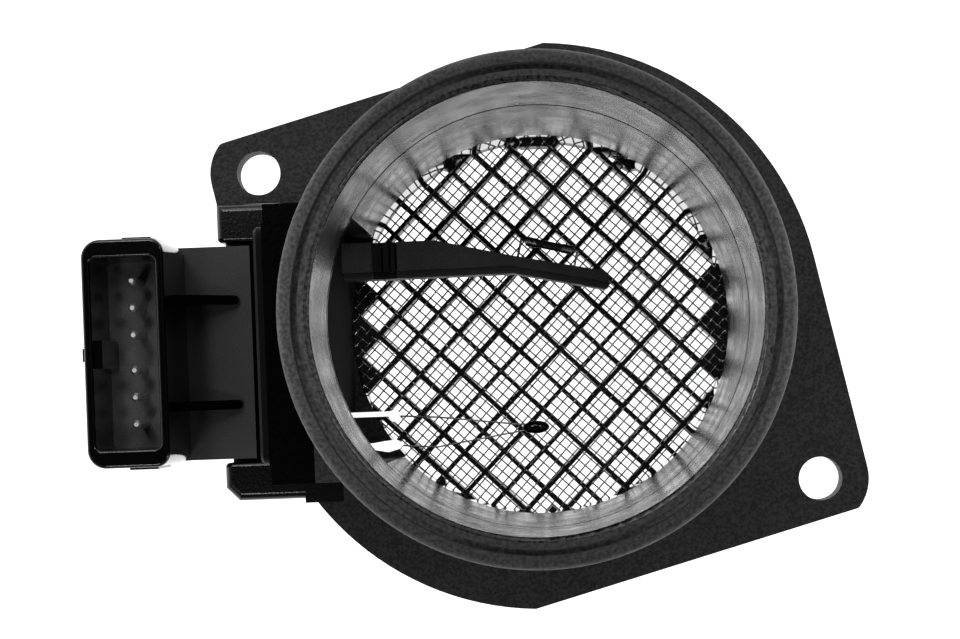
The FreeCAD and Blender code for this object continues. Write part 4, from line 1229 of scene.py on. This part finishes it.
@dataclass
class Studio:
    """Light table, a large soft light, four small ones and the camera above the bore."""

    floor_reach: float = 6.0
    floor_gap_mm: float = 0.05
    table: LightTable = LightTable("opal_acrylic_light_table", "#ffffff", 1.5)
    key_place: tuple[float, float, float] = (-0.12, 0.4, 0.5)
    key_side: float = 0.3
    key_power: float = 0.6
    lamps: int = 4
    first_lamp_deg: float = 45.0
    lamp_reach: float = 0.21
    lamp_height: float = 0.45
    lamp_side: float = 0.06
    lamp_power: float = 0.14
    overhead: float = 0.004
    ring: float = 0.28
    ring_from: float = 0.95
    ring_to: float = 0.88
    shaded_share: float = 0.06
    bright_share: float = 1.2
    slope_span: Span = (-0.7, 0.9)
    horizon: float = 1.8
    horizon_top: float = 0.6
    end_share: float = 0.3
    side_span: Span = (0.2, 0.8)
    backdrop: float = 0.9
    camera_mm: tuple[float, float, float] = (1.48, -12.36, 365.0)
    camera_turn_deg: float = -2.1
    sensor_mm: float = 36.0
    lens_mm: float = 72.56
    shift: Span = (-0.0729, 0.0755)
    clip: Span = (0.01, 100.0)

    def build(self) -> None:
        """Set up floor, lights, sky and camera."""
        self.add_floor()
        self.add_sky()
        self.add_light("key_light", self.key_place, self.key_side, self.key_power)
        for number in range(self.lamps):
            place = ray(self.first_lamp_deg + 360 * number / self.lamps) * self.lamp_reach
            place.z = self.lamp_height
            self.add_light(f"lamp_{number + 1}", place, self.lamp_side, self.lamp_power)
        self.add_camera()

    def add_floor(self) -> None:
        """Lay the light table just under the object."""
        low, _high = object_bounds()
        height = low.z - self.floor_gap_mm * MM
        plane = bmesh.new()
        bmesh.ops.create_grid(plane, x_segments=1, y_segments=1, size=self.floor_reach)
        bmesh.ops.translate(plane, verts=plane.verts, vec=(0, 0, height))
        mesh = bpy.data.meshes.new("light_table")
        plane.to_mesh(mesh)
        plane.free()
        floor = put_in_scene("light_table", mesh)
        floor.data.materials.append(self.table.build())
        floor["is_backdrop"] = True

    def add_sky(self) -> None:
        """Light from all round but overhead, brightest low at the sides, and a pale backdrop."""
        world = bpy.data.worlds.new("studio")
        bpy.context.scene.world = world
        world.use_nodes = True
        sky = Nodes(world.node_tree)
        way = sky.add("ShaderNodeNewGeometry").outputs["Position"]
        across, along, height = sky.add("ShaderNodeSeparateXYZ", {"Vector": way}).outputs
        side = sky.add("ShaderNodeMath", {"operation": "ABSOLUTE", 0: across})
        lean = sky.add("ShaderNodeMath", {"operation": "SUBTRACT", 0: along, 1: across})
        low, share, slope, opened = (
            sky.add("ShaderNodeMapRange", onto(source, before, after))
            for source, before, after in (
                (height, (0, self.horizon_top), (self.horizon, 0)),
                (side, self.side_span, (self.end_share, 1)),
                (lean, self.slope_span, (self.shaded_share, self.bright_share)),
                (height, (self.ring_to, self.ring_from), (1, 0)),
            )
        )
        dome = sky.add("ShaderNodeMath", {"operation": "MULTIPLY", 0: slope, 1: self.ring})
        values = {"operation": "MULTIPLY_ADD", 0: low, 1: share, 2: dome}
        both = sky.add("ShaderNodeMath", values)
        values = {"operation": "MULTIPLY_ADD", 0: both, 1: opened, 2: self.overhead}
        light = sky.add("ShaderNodeMath", values)
        seen = sky.add("ShaderNodeLightPath").outputs["Is Camera Ray"]
        level = sky.add("ShaderNodeMix", {"Factor": seen, "A": light, "B": self.backdrop})
        glow = sky.add("ShaderNodeBackground", {"Strength": level, "Color": "#ffffff"})
        sky.add("ShaderNodeOutputWorld", {"Surface": glow})

    def add_light(
        self, name: str, place: Sequence[float], side: float, power: float
    ) -> None:
        """Add a square soft light that faces the object.

        Args:
            name: Name of the light.
            place: Position in metres.
            side: Edge length in metres.
            power: Power in watts.
        """
        data = bpy.data.lights.new(name, "AREA")
        data.size = side
        data.energy = power
        lamp = put_in_scene(name, data)
        lamp.location = place
        lamp.rotation_euler = (-Vector(place)).to_track_quat("-Z", "Y").to_euler()
        lamp.visible_camera = False

    def add_camera(self) -> None:
        """Set the camera straight above the bore, at the photograph's distance."""
        data = bpy.data.cameras.new("camera")
        data.sensor_width = self.sensor_mm
        data.lens = self.lens_mm
        data.shift_x, data.shift_y = self.shift
        data.clip_start, data.clip_end = self.clip
        camera = put_in_scene("camera", data)
        camera.location = Vector(self.camera_mm) * MM
        camera.rotation_euler = (0.0, 0.0, math.radians(self.camera_turn_deg))
        bpy.context.scene.camera = camera


def main() -> None:
    """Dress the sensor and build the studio."""
    logging.basicConfig(level=logging.INFO, format="%(message)s")
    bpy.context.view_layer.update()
    wardrobe = Wardrobe()
    wardrobe.dress_frame()
    for piece in (MouldedLattice().build(wardrobe), WovenCloth().build(wardrobe)):
        log.info("%s has %d faces", piece.name, len(piece.data.polygons))
    Studio().build()
    bpy.context.scene.view_settings.view_transform = "Standard"


if __name__ == "__main__":
    main()
